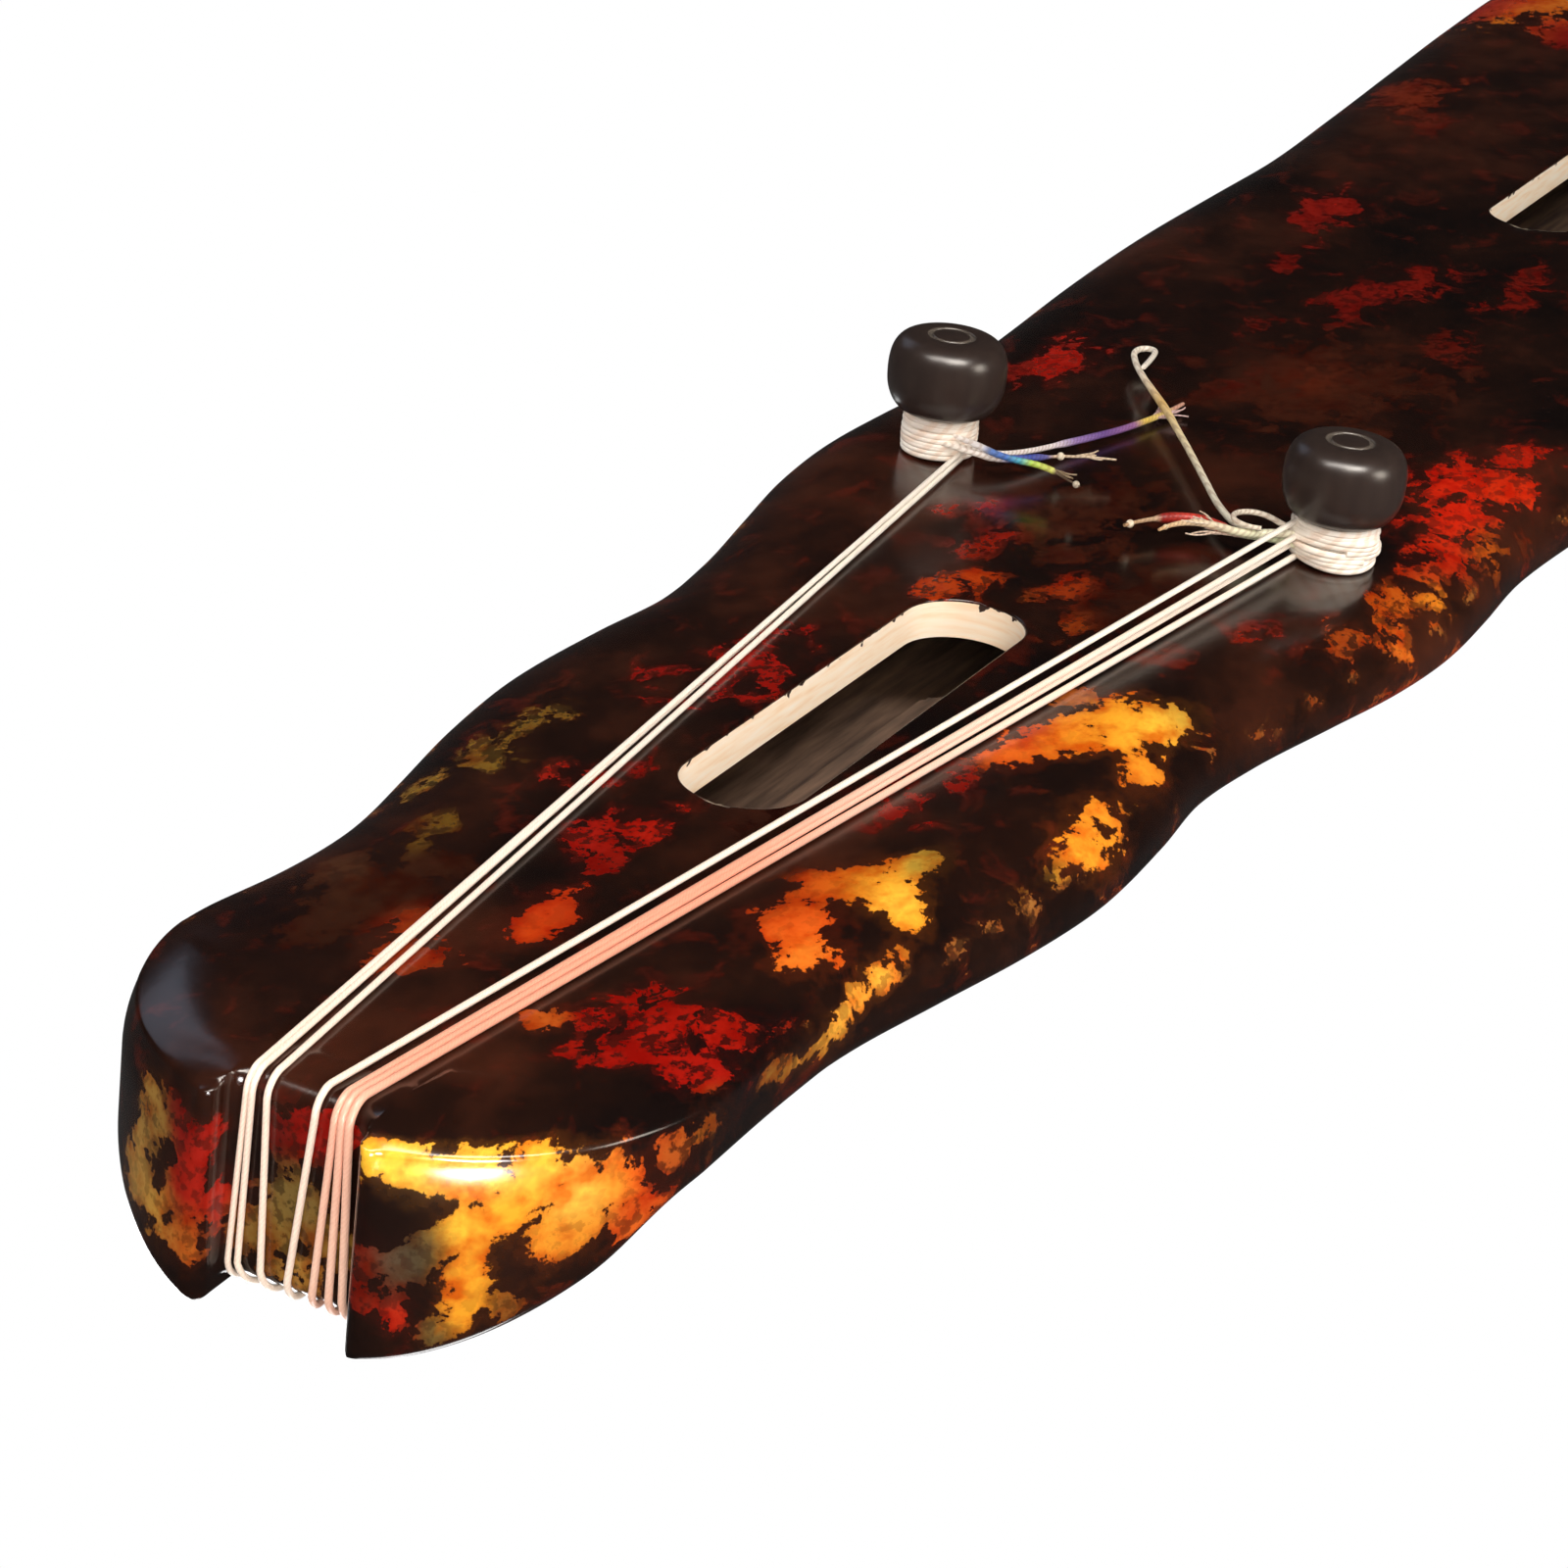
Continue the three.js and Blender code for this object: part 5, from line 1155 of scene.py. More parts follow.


# The wood inside is old and dull, and its dark tones are partly painted shade, so it stays dark
# behind the slots
lacquer = rubbed_lacquer()
slot_wood = chipped_slot_wood()
inner_wood_with_painted_shade = planed_wood(
    "old_paulownia_inside_painted_shade", dark="#40322b", light="#7c6454", grain_width=2.2,
    values={"Roughness": 0.6, "IOR": 1.45},
)
sound_box = add_mesh(
    "lacquered_sound_box", both_sides(half_grids), [lacquer, slot_wood, inner_wood_with_painted_shade], crease=50,
)
box_places = vertex_places(sound_box)
patch_strength, patch_colour, patch_tear = patch_attributes(box_places)
# The top and the far part of the body, which the photograph doesn't show, are mottled freely
top_from, tail_from, unseen_from = (10.0, 17.0), (20.0, 70.0), (730.0, 850.0)
box_stations = box_places[:, 0] + board_length / 2
on_top = ease(box_places[:, 2] - underside, *top_from) * ease(box_stations, *tail_from)
free_mottle = np.maximum(on_top, ease(box_stations, *unseen_from))
box_attributes = sound_box.data.attributes
for name, values in (
    ("patch_strength", patch_strength), ("patch_tear", patch_tear), ("free_mottle", free_mottle),
):
    box_attributes.new(name, "FLOAT", "POINT").data.foreach_set("value", values)
tints = box_attributes.new("patch_colour", "FLOAT_COLOR", "POINT")
tints.data.foreach_set("color", patch_colour.ravel())
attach(sound_box, "instrument")
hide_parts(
    "top_board", "bottom_board", "tail_crown_left", "tail_crown_right", "tail_nut",
    "lower_tail_gum",
)


# Sound posts. The round heaven pillar and the square earth pillar are planed from spruce and
# glued upright between the two boards.
raw_wood = planed_wood(
    "planed_spruce", dark="#a98358", light="#d2ae80", grain_width=1.4,
    values={"Roughness": 0.7, "IOR": 1.45},
)
# Station, half width, and power of the superellipse: 2 makes a circle, and a high power makes a
# square with eased corners
posts = {
    "heaven_pillar": (0.7234 * board_length, 10.0, 2.0),
    "earth_pillar": (0.4092 * board_length, 7.5, 12.0),
}


def ring_grid(rings):
    """A skin through rings of points, one ring a row, closed at both ends to the ring's middle."""
    ends = [np.broadcast_to(rings[i, :-1].mean(axis=0), rings[:1].shape) for i in (0, -1)]
    return np.concatenate([ends[0], rings, ends[1]])


around = np.linspace(0, 2 * np.pi, 97)
levels = np.linspace(0, 1, 5)[:, None]
for name, (station, half, power) in posts.items():
    size = half / (np.abs(np.cos(around)) ** power + np.abs(np.sin(around)) ** power) ** (1 / power)
    post_s, post_y = station + size * np.cos(around), size * np.sin(around)
    post_top = arch(post_s, post_y) - roof_thickness
    rings = place_grid(post_s, post_y, floor_height + (post_top - floor_height) * levels)
    post = add_mesh(name, [(ring_grid(rings), 0, True)], [raw_wood])
    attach(post, "instrument")
    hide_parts(name)


# Strings of wound silk and steel. Each is knotted behind the bridge, runs over the bridge, the
# nut and the tail end, then back along the underside, and is wound tight round a foot's neck.
# The outer three are dyed salmon, which is rubbed off towards the feet.
# Under tension the silk is smooth and satiny, and where it is wound up it is duller. Its turns
# are drawn 0.5 and 2.4 mm apart, because the real ones are too fine to show.
string_silk = silk_thread("wound_string_silk", pitch=0.5, groove_shade_code="#fbf7f4", roughness=0.34)
winding_silk = silk_thread("wound_up_string_silk", pitch=2.4, groove_shade_code="#f6ece6", roughness=0.5)
full_share = 1.2
string_spacing = 18.5
string_ys = (3 - np.arange(7)) * string_spacing
nut_sides = np.array([0.85, 0.567, 0.283, 0, -0.283, -0.567, -0.85]) * channel_half
lip_sides = np.array([0.76, 0.57, 0.34, -0.02, -0.41, -0.74, -0.88]) * channel_half
gum_sides = np.array([8.95, 7.54, 6.19, 2.6, -6.4, -9.2, -10.33])
bridge_station, bridge_thick, bridge_half = board_length - 84, 9.0, 75.0
bridge_rise, crest_drop, crest_half, toe_rise, bridge_soft = 15.0, 4.0, 62.0, 2.5, 1.4
crest_seat, string_gap, turn_gap, arc_steps = 0.12, 0.3, 0.45, 14
knot_station, knot_radius, knot_flat, knot_lobe = 1149.9, 2.3, 0.8, 0.06
collector_proud = 0.8
neck_radius, neck_length = 4.5, 9.9
# Winding: side of the foot, layer, start as a share of the neck, way along it, and turns
windings = [
    (1, 0, 0.12, 1, 1), (1, 1, 0.36, 1, 1), (1, 0, 0.62, -1, 1), (1, 1, 0.88, -1, 1),
    (-1, 1, 0.12, 1, 1), (-1, 0, 0.1, 1, 2), (-1, 1, 0.26, 1, 1),
]
# Outer turns on the near and the far foot: radius, swell at the neck's middle, waver in radius
# with its shift by string, slow waver in radius, and waver along the neck
coils = {1: (8.3, 0.9, 0.32, 4.1, 0.25, 0.22), -1: (7.55, 0.3, 0.08, 1.0, 0.0, 0.0)}
coil_pitch, coil_start, coil_margin, coil_radius = 1.08, 0.75, 0.9, 0.8
# Colours along a string: at the knot, the nut and the end face, at three distances along the
# part below, at the foot, and at the winding's end
pink_colours = [
    "#f3ddd0", "#f0c0ac", "#f4cbb8", "#eaa68f", "#e8a28b", "#f9e6da", "#fdf8f0", "#faf0e8",
]
white_colours = [
    "#f6ecde", "#f7e9dc", "#f8e2d4", "#f9e6da", "#fbf0e8", "#fdf9f2", "#fdf9f2", "#faf0e8",
]
colour_distances = np.array([12, 110, 215])


def crest_height(y):
    """Bridge top above the underside: a shallow parabola that falls away at both ends."""
    middle = arch(bridge_station, 0.0) + bridge_rise - crest_drop * (np.abs(y) / crest_half) ** 2
    toe = arch(bridge_station, y) + toe_rise
    return middle + (toe - middle) * ease(np.abs(y), crest_half, bridge_half)


def arc(centre, radius, start, stop, from_y, to_y, steps):
    """Points of (station, y, height) on a circle in the long upright plane, sliding in y."""
    angle = np.linspace(start, stop, steps + 1)
    return np.stack([
        centre[0] + radius * np.cos(angle), np.linspace(from_y, to_y, steps + 1),
        centre[1] + radius * np.sin(angle),
    ], axis=1)


def knot_level(y):
    """Height of a knot's middle above the underside: it lies on the dew collector."""
    return arch(knot_station, y) + collector_proud + knot_radius * knot_flat + string_gap


def between(start, stop, steps):
    """Points at equal steps on a straight line, without its two ends."""
    return start + (stop - start) * np.linspace(0, 1, steps)[1:-1, None]


def string_path(i):
    """A string's middle line, as rows of (station, y, height), and the row numbers where its
    parts start: a smooth curve over the bridge, a straight run, quarter circles round the nut and
    the gum with a straight face between, a straight run below, and a helix round the neck."""
    y, real = string_ys[i], string_diameters[i] / 2
    clear = real + string_gap
    crest = crest_height(y) - crest_seat
    back = bridge_station + bridge_thick
    # From the knot up the bridge's back, round its edge and level over its top
    over = smooth_path(np.array([
        (knot_station, y, knot_level(y)), (back + clear, y, knot_level(y) + knot_radius),
        (back + clear, y, crest - bridge_soft - 0.2 * clear),
        (back + 0.65 * clear, y, crest - bridge_soft + 0.76 * clear),
        (bridge_station + 0.82 * bridge_thick + 0.3 * clear, y, crest + clear),
        (bridge_station + 0.18 * bridge_thick, y, crest + clear),
    ]), per_span=4)
    bend = lip_radius + string_gap + real * full_share
    middle = channel_end + lip_radius
    upper = arc(
        (middle, nut_top - lip_radius), bend, np.pi / 2, np.pi, nut_sides[i], lip_sides[i],
        arc_steps,
    )
    lower = arc(
        (middle, lip_radius), bend, np.pi, 1.5 * np.pi, gum_sides[i], gum_sides[i], arc_steps,
    )
    face = between(upper[-1], lower[0], steps=8)
    run = between(over[-1], upper[0], steps=24)
    # The run below meets the winding along a tangent, whose angle at the foot is the direction
    # of the run's start plus the arc cosine of the winding's radius over the distance
    side, layer, share, way, turns = windings[i]
    radius = neck_radius + string_gap + string_diameters[0] / 2
    radius += layer * string_diameters[0] * full_share
    foot_station = foot_place[0] + board_length / 2
    towards = np.array([lower[-1, 0] - foot_station, side * lower[-1, 1] - foot_side])
    first = math.atan2(towards[1], towards[0]) + math.acos(radius / np.hypot(*towards))
    first -= 2 * math.pi
    sweep = math.pi - first + 2 * math.pi * (turns - 1)
    angle = first + np.linspace(0, sweep, int(sweep * 8))
    rise = (angle - first) / (2 * np.pi) * (string_diameters[i] + turn_gap)
    wound = np.stack([
        foot_station + radius * np.cos(angle), side * (foot_side + radius * np.sin(angle)),
        -share * neck_length - way * rise,
    ], axis=1)
    below = between(lower[-1], wound[0], steps=30)
    path = np.concatenate([over, run, upper, face, lower, below, wound])
    marks = np.cumsum([len(over), len(run), len(upper), len(face), len(lower), len(below)])
    return path, marks


def knot_grid(y):
    """A fly-head knot: a ball flattened in height, with six lobes that twist round it."""
    polar = np.linspace(0, np.pi, 25)[:, None]
    turn = np.linspace(0, 2 * np.pi, 49)[None, :]
    lobes = knot_lobe * np.sin(6 * turn + 3 * polar) * np.sin(polar) ** 2
    radius = knot_radius * (1 + lobes)
    return place_grid(
        knot_station + radius * np.sin(polar) * np.cos(turn),
        y + radius * np.sin(polar) * np.sin(turn),
        knot_level(y) - knot_flat * radius * np.cos(polar),
    )


def outer_winding(side, order, count):
    """The outer turns of a string round the neck: one of several coils stacked along it, whose
    radius swells by a sine of the depth and wavers by sines of the angle."""
    base, belly, waver, shift, slow, sag = coils[side]
    rows = (neck_length - coil_margin) / coil_pitch / count
    angle = np.linspace(0, 2 * np.pi * rows, int(rows * 48)) + 2 * order
    depth = coil_start + (order * rows + (angle - angle[0]) / (2 * np.pi)) * coil_pitch
    radius = base + belly * np.sin(np.pi * depth / neck_length)
    radius = radius + waver * np.sin(3 * angle + shift * order) + slow * np.sin(1.3 * angle)
    depth = depth + sag * np.sin(2 * angle + order)
    return np.stack([
        foot_place[0] + radius * np.cos(angle), side * (foot_side + radius * np.sin(angle)),
        underside - depth,
    ], axis=1)


for i, diameter in enumerate(string_diameters):
    rows, marks = string_path(i)
    path = rows + np.array([-board_length / 2, 0, underside])
    # It thickens along its run, until a few rows past the start of the nut's curve
    fuller = ease(np.arange(len(path)), marks[0], marks[1] + 4)
    radius = diameter / 2 * (1 + (full_share - 1) * fuller)
    # The ring's reference turns from across the board to upright along the straight part below
    tilt = np.pi / 2 * ease(np.arange(len(path)), marks[4], marks[5])
    reference = np.stack([np.zeros(len(path)), np.cos(tilt), np.sin(tilt)], axis=1)
    side = windings[i][0]
    order, count = (i, 4) if side > 0 else (i - 4, 3)
    string = add_mesh(f"string_{i + 1}", [
        (tube_grid(path, radius, reference, sides=18), 0, False),
        (knot_grid(string_ys[i]), 0, True),
        (tube_grid(outer_winding(side, order, count), coil_radius, sides=14), 1, False),
    ], [string_silk, winding_silk])
    lengths = along(path)
    places = [
        0, lengths[marks[1]], lengths[marks[2]], *(lengths[marks[4] - 1] + colour_distances),
        lengths[marks[5]], lengths[-1],
    ]
    codes = pink_colours if i < 3 else white_colours
    stops = [(place / lengths[-1], code) for place, code in zip(places, codes)]
    colour_by_length(string, path, stops)
    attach(string, "instrument")
    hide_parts(f"string_{i + 1}")


# Goose feet, turned from ebony and oiled: a knob like a drum with rounded edges on a plain neck.
# A shallow ring is cut in the end of the knob, where the wood is worn pale.
# Profile of (radius, height above the floor), from the hidden tenon down
foot_profile = [
    (0, 33.0), (4.2, 33.0), (4.5, 32.7), (4.5, 17.62), (4.9, 17.5), (8.2, 17.4), (9.6, 17.05),
    (10.9, 16.1), (12.1, 14.3), (12.9, 12.0), (13.2, 9.4), (13.2, 7.0), (12.95, 4.8), (12.3, 2.9),
    (11.2, 1.4), (9.8, 0.5), (8.4, 0.12), (7.0, 0.0), (5.5, 0.0), (5.3, 0.05), (5.15, 0.2),
    (5.05, 0.45), (4.9, 0.5), (4.5, 0.5), (4.35, 0.45), (4.25, 0.2), (4.1, 0.05), (3.9, 0.0),
    (0, 0.0),
]
knob_from, knob_to = 5, 17
ring_radius, ring_reach, ring_level, ring_wear = 4.7, 0.75, 2.0, 0.5


def finer(profile, steps=3):
    """A profile with more points, by cubics through it that keep its own points."""
    return smooth_path(np.array(profile, dtype=float), steps)


def lathe_grid(profile, x, y, sides=96, flutes=0, flute_depth=0.0):
    """A profile of (radius, z) turned about an upright axis. Flutes narrow it by a cosine."""
    turn = np.linspace(0, 2 * np.pi, sides + 1)[None, :]
    radius = np.clip(profile[:, :1], 0, None)
    radius = radius * (1 - flute_depth * (0.5 - 0.5 * np.cos(flutes * turn)))
    return np.stack([
        x + radius * np.cos(turn), y + radius * np.sin(turn),
        np.broadcast_to(profile[:, 1:], radius.shape),
    ], axis=2)


def turned_wood(name, dark, light, grain_width, values):
    """Turned and oiled wood: fine upright grain between two close tones, a slight unevenness of
    the gloss, and a worn attribute that lays a pale tone over it."""
    material, principled = new_material(name, values)
    grain, tone = wood_grain(
        material, (1.0, 1.0, 0.15), grain_width, {"Detail": 6.0, "Roughness": 0.6},
        [(0.35, dark), (0.68, light)],
    )
    worn = add_node(material, "Attribute", attribute_name="worn")
    mixed = add_node(
        material, "Mix", {0: worn.outputs["Fac"], 6: tone.outputs["Color"]}, {7: srgb("#8f8880")},
        data_type="RGBA",
    )
    gloss = add_node(
        material, "MapRange", {"Value": grain.outputs["Fac"]},
        {"To Min": values["Roughness"] - 0.03, "To Max": values["Roughness"] + 0.03},
    )
    feed(principled, {"Base Color": mixed.outputs[2], "Roughness": gloss.outputs[0]})
    return material


# Oiled ebony is nearly black, with a soft gloss and hardly any grain to be seen
ebony = turned_wood(
    "turned_oiled_ebony", dark="#302725", light="#362c29", grain_width=3.0,
    values={"Roughness": 0.3, "IOR": 1.55},
)
profile = np.array(foot_profile)
knob = finer(profile[knob_from:knob_to + 1])[1:-1]
fine_profile = np.concatenate([profile[:knob_from + 1], knob, profile[knob_to:]])
for name, side in (("goose_foot_left", 1), ("goose_foot_right", -1)):
    turned = lathe_grid(fine_profile, foot_place[0], side * foot_side)
    foot = add_mesh(name, [(turned, 0, False)], [ebony], crease=35)
    places = vertex_places(foot)
    from_axis = np.hypot(places[:, 0] - foot_place[0], places[:, 1] - side * foot_side)
    ring_worn = np.clip(1 - np.abs(from_axis - ring_radius) / ring_reach, 0, 1) ** 0.5
    ring_worn = ring_wear * ring_worn * (places[:, 2] < ring_level)
    foot.data.attributes.new("worn", "FLOAT", "POINT").data.foreach_set("value", ring_worn)
    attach(foot, "instrument")
    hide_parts(name)


# Bridge and dew collector, planed from rosewood, waxed, and let into the top board. The dew
# collector is a low slip behind the bridge, with a hole for each cord.
def waxed_wood(name, dark, middle, light):
    """Waxed rosewood: dark streaks along the grain in a red-brown wood, with a satin gloss that
    the same streaks vary."""
    material, principled = new_material(
        name, {"IOR": 1.5, "Coat Weight": 0.25, "Coat Roughness": 0.2},
    )
    streaks, tone = wood_grain(
        material, (1.0, 0.12, 0.6), 2.4, {"Detail": 5.0, "Roughness": 0.58, "Distortion": 0.6},
        [(0.34, dark), (0.7, light), (0.5, middle)],
    )
    gloss = add_node(
        material, "MapRange", {"Value": streaks.outputs["Fac"]}, {"To Min": 0.42, "To Max": 0.28},
    )
    bump = add_node(
        material, "Bump", {"Height": streaks.outputs["Fac"]},
        {"Strength": 0.12, "Distance": 0.1 * MM},
    )
    feed(principled, {
        "Base Color": tone.outputs["Color"], "Roughness": gloss.outputs[0],
        "Normal": bump.outputs["Normal"],
    })
    return material


rosewood = waxed_wood("waxed_rosewood", dark="#23110e", middle="#42211a", light="#5d3023")
bridge_end_round, bridge_flat, bridge_sunk = 1.2, 73.0, 0.3
end_turn = np.linspace(0, np.pi / 2, 6)
bridge_y = np.concatenate([
    -bridge_half + bridge_end_round * np.sin(end_turn), np.linspace(-bridge_flat, bridge_flat, 87),
    bridge_half - bridge_end_round * np.cos(end_turn),
])[:, None]
end_round = quarter(bridge_half - np.abs(bridge_y), bridge_end_round)
# Section of the bridge: up its front, over the two rounded edges, down its back and along the
# bottom, as places through the thickness, drops from the crest, and which points are raised
soft_turn = np.linspace(0, np.pi / 2, 7)
section_s = np.concatenate([
    [0, 0], bridge_soft * (1 - np.cos(soft_turn)),
    bridge_thick - bridge_soft * (1 - np.sin(soft_turn)), [bridge_thick, bridge_thick, 0],
])
section_drop = bridge_soft * np.concatenate([
    [0, 2], 1 - np.sin(soft_turn), 1 - np.cos(soft_turn), [2, 0, 0],
])
raised = np.array([False] + [True] * (len(section_s) - 3) + [False, False])
bridge_s = (section_s - bridge_thick / 2) * (1 - end_round / bridge_thick)
bridge_s = bridge_station + bridge_thick / 2 + bridge_s
bridge_high = crest_height(bridge_y) - section_drop - end_round
bridge_low = arch(bridge_s, bridge_y) - bridge_sunk
bridge_rings = place_grid(bridge_s, bridge_y, np.where(raised, bridge_high, bridge_low))
bridge_piece = add_mesh("bridge", [(ring_grid(bridge_rings), 0, True)], [rosewood], crease=35)
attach(bridge_piece, "instrument")
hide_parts("bridge")

collector_span = (1147.3, 1174.3)
hole_radius, hole_lip, collector_round, well_deep, bed_sunk = 2.7, 0.45, 0.5, 0.33, 0.3
ray_shares = np.concatenate([
    [0, 0.006, 0.015, 0.03, 0.05], np.linspace(0.1, 0.94, 8), [0.96, 0.975, 0.99, 1],
])


def plate_height(station, y, edge):
    """Top of the dew collector above the underside: it follows the board, a little proud, and
    is rounded along its own edge and round each hole."""
    return arch(station, y) + collector_proud - edge


def collector_cell(y, low_y, high_y):
    """The skin round one hole: rays run from the hole's rim to the cell's rectangle, and the
    rim is rounded over and goes down to a dark floor."""
    corners = [
        math.atan2(dy, ds)
        for ds in (collector_span[0] - peg_station, collector_span[1] - peg_station)
        for dy in (low_y - y, high_y - y)
    ]
    turn = np.unique(np.round(np.concatenate([np.linspace(-np.pi, np.pi, 65), corners]), 6))
    cos, sin = np.cos(turn), np.sin(turn)
    with np.errstate(divide="ignore"):
        long = np.where(cos > 0, collector_span[1] - peg_station, peg_station - collector_span[0])
        wide = np.where(sin > 0, high_y - y, y - low_y)
        edge = np.minimum(long / np.abs(cos), wide / np.abs(sin))[None, :]
    ray = hole_radius + (edge - hole_radius) * ray_shares[:, None]
    station, side = peg_station + ray * cos, y + ray * sin
    from_edge = np.min([
        station - collector_span[0], collector_span[1] - station, bridge_half - np.abs(side),
    ], axis=0).round(4)
    drop = quarter(np.clip(from_edge, 0, None), collector_round)
    drop = drop + quarter(ray - hole_radius, hole_lip)
    top = place_grid(station, side, plate_height(station, side, drop))
    sunk = np.linspace(collector_round, collector_proud + bed_sunk, 3)
    walls = []
    for line, other, level, flip in (
        (station[-1], side[-1], collector_span[0], False),
        (station[-1], side[-1], collector_span[1], True),
        (side[-1], station[-1], -bridge_half, True), (side[-1], station[-1], bridge_half, False),
    ):
        on_line = np.flatnonzero(np.isclose(line, level))
        order = on_line[np.argsort(other[on_line])]
        if len(order) > 1:
            wall_s, wall_y = station[-1, order][:, None], side[-1, order][:, None]
            walls.append((place_grid(wall_s, wall_y, plate_height(wall_s, wall_y, sunk)), 0, flip))
    under_s = np.stack([station[-1], np.full(len(turn), peg_station)])
    under_y = np.stack([side[-1], np.full(len(turn), y)])
    under = place_grid(under_s, under_y, plate_height(under_s, under_y, sunk[-1]))
    depth = hole_lip + np.linspace(0, well_deep, 4)[:, None]
    well_s, well_y = peg_station + hole_radius * cos[None, :], y + hole_radius * sin[None, :]
    well = place_grid(well_s, well_y, plate_height(well_s, well_y, depth))
    floor_share = np.linspace(1, 0, 4)[:, None]
    bed_s = peg_station + hole_radius * floor_share * cos
    bed_y = y + hole_radius * floor_share * sin
    bed = place_grid(bed_s, bed_y, plate_height(bed_s, bed_y, depth[-1]))
    return [(top, 0, False), (well, 1, True), (bed, 1, True), (under, 0, False), *walls]


hole_dark, _ = new_material(
    "drilled_hole_shadow", {"Roughness": 0.9, "Base Color": srgb("#0b0605")},
)
cell_middles = (string_ys[1:] + string_ys[:-1]) / 2
cell_edges = np.concatenate([[bridge_half], cell_middles, [-bridge_half]])
collector_grids = []
for y, high_y, low_y in zip(string_ys, cell_edges[:-1], cell_edges[1:]):
    collector_grids += collector_cell(y, low_y, high_y)
collector_piece = add_mesh("dew_collector", collector_grids, [rosewood, hole_dark], crease=60)
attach(collector_piece, "instrument")
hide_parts("dew_collector")


# Thirteen studs of mother of pearl, sawn and polished as thin discs and let into the lacquer of
# the top beside the first string, at fractions of the sounding length
stud_shares = [1/8, 1/6, 1/5, 1/4, 1/3, 2/5, 1/2, 3/5, 2/3, 3/4, 4/5, 5/6, 7/8]
stud_radius, middle_stud, middle_stud_radius, stud_offset = 3.6, 6, 5.2, 12.0
stud_proud, stud_sunk = 0.15, 0.4
sounding_length = bridge_station - channel_end
# Polished shell is smooth and bright, with clouds of pale green, pink and blue under the gloss
pearl, pearl_shader = new_material(
    "polished_mother_of_pearl", {"Roughness": 0.18, "IOR": 1.53, "Coat Weight": 0.4},
)
pearl_place = add_node(pearl, "TexCoord")
pearl_cloud = add_node(
    pearl, "TexNoise", {"Vector": pearl_place.outputs["Object"]},
    {"Scale": 1 / (2.6 * MM), "Detail": 3.0, "Distortion": 1.6},
)
pearl_tone = add_node(
    pearl, "ValToRGB", {"Fac": pearl_cloud.outputs["Fac"]},
    stops=[(0.3, "#cfe3e0"), (0.72, "#efd6e0"), (0.5, "#f4f0e6"), (0.6, "#dfe8f2")],
)
feed(pearl_shader, {"Base Color": pearl_tone.outputs["Color"]})
for i, share in enumerate(stud_shares):
    station = bridge_station - share * sounding_length
    outer_string = nut_sides[0] + (string_ys[0] - nut_sides[0]) * (1 - share)
    size = middle_stud_radius if i == middle_stud else stud_radius
    # Profile of (radius, height above the board): bottom, side, rounded rim and flat top
    dome = np.array([
        (0, -stud_sunk), (size, -stud_sunk), (size, 0.02), (size - 0.04, 0.09), (size - 0.14, 0.13),
        (size - 0.4, stud_proud), (size * 0.6, stud_proud), (size * 0.3, stud_proud),
        (0, stud_proud),
    ])
    turn = np.linspace(0, 2 * np.pi, 49)[None, :]
    disc_s = station + dome[:, :1] * np.cos(turn)
    disc_y = outer_string + stud_offset + dome[:, :1] * np.sin(turn)
    disc = place_grid(disc_s, disc_y, arch(disc_s, disc_y) + dome[:, 1:])
    stud = add_mesh(f"hui_{i + 1:02d}", [(disc, 0, True)], [pearl], crease=35)
    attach(stud, "instrument")
    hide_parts(f"hui_{i + 1:02d}")


# Peg pool plate: a planed rosewood board that roofs the recess, bored for each cord. It keeps
# the measured solid, with its own wood.
plate_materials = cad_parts["peg_pool_plate"].data.materials
plate_materials.clear()
plate_materials.append(rosewood)


# Tuning pegs, turned from rosewood: a head that bears on the plate, a waist, and a long body
# with shallow flutes for the fingers
peg_top, peg_length, peg_radius = 36.0, 31.0, 7.4
flute_count, flute_share, flutes_from, flutes_to = 8, 0.09, (9.5, 14.0), (25.0, 30.0)
# Profile of (share of the radius, share of the length), from the head down
peg_profile = [
    (0, 0), (0.5, 0), (0.8, 0.004), (0.86, 0.012), (0.97, 0.04), (1.0, 0.075), (0.99, 0.11),
    (0.93, 0.15), (0.7, 0.215), (0.62, 0.27), (0.68, 0.33), (0.84, 0.4), (0.89, 0.45),
    (0.885, 0.52), (0.86, 0.6), (0.8, 0.72), (0.71, 0.85), (0.63, 0.93), (0.55, 0.978),
    (0.4, 0.998), (0.2, 1.0), (0, 1.0),
]
fine_peg = finer(np.array(peg_profile) * (peg_radius, -peg_length) + (0, peg_top))
fine_peg[:, 0] = np.clip(fine_peg[:, 0], 0, None)
peg_depth = peg_top - fine_peg[:, 1:]
fluted = flute_share * (ease(peg_depth, *flutes_from) * (1 - ease(peg_depth, *flutes_to)))
for i, y in enumerate(string_ys):
    x = peg_station - board_length / 2
    grid = lathe_grid(fine_peg, x, y, flutes=flute_count, flute_depth=fluted)
    turned_peg = add_mesh(f"tuning_peg_{i + 1}", [(grid, 0, False)], [rosewood], crease=50)
    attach(turned_peg, f"tuning_peg_{i + 1}_body")
    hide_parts(f"tuning_peg_{i + 1}")


# Peg cords: two strands of red-brown silk, twisted by hand, that come up through the board from
# each peg, lie over the edge of the dew collector's hole and hold the string's knot
cord_thick, cord_twist, cord_deep, peg_hole_deep = 2.2, 3.4, 8.0, 14.0
strand_radius_share, strand_away_share = 0.26, 0.235
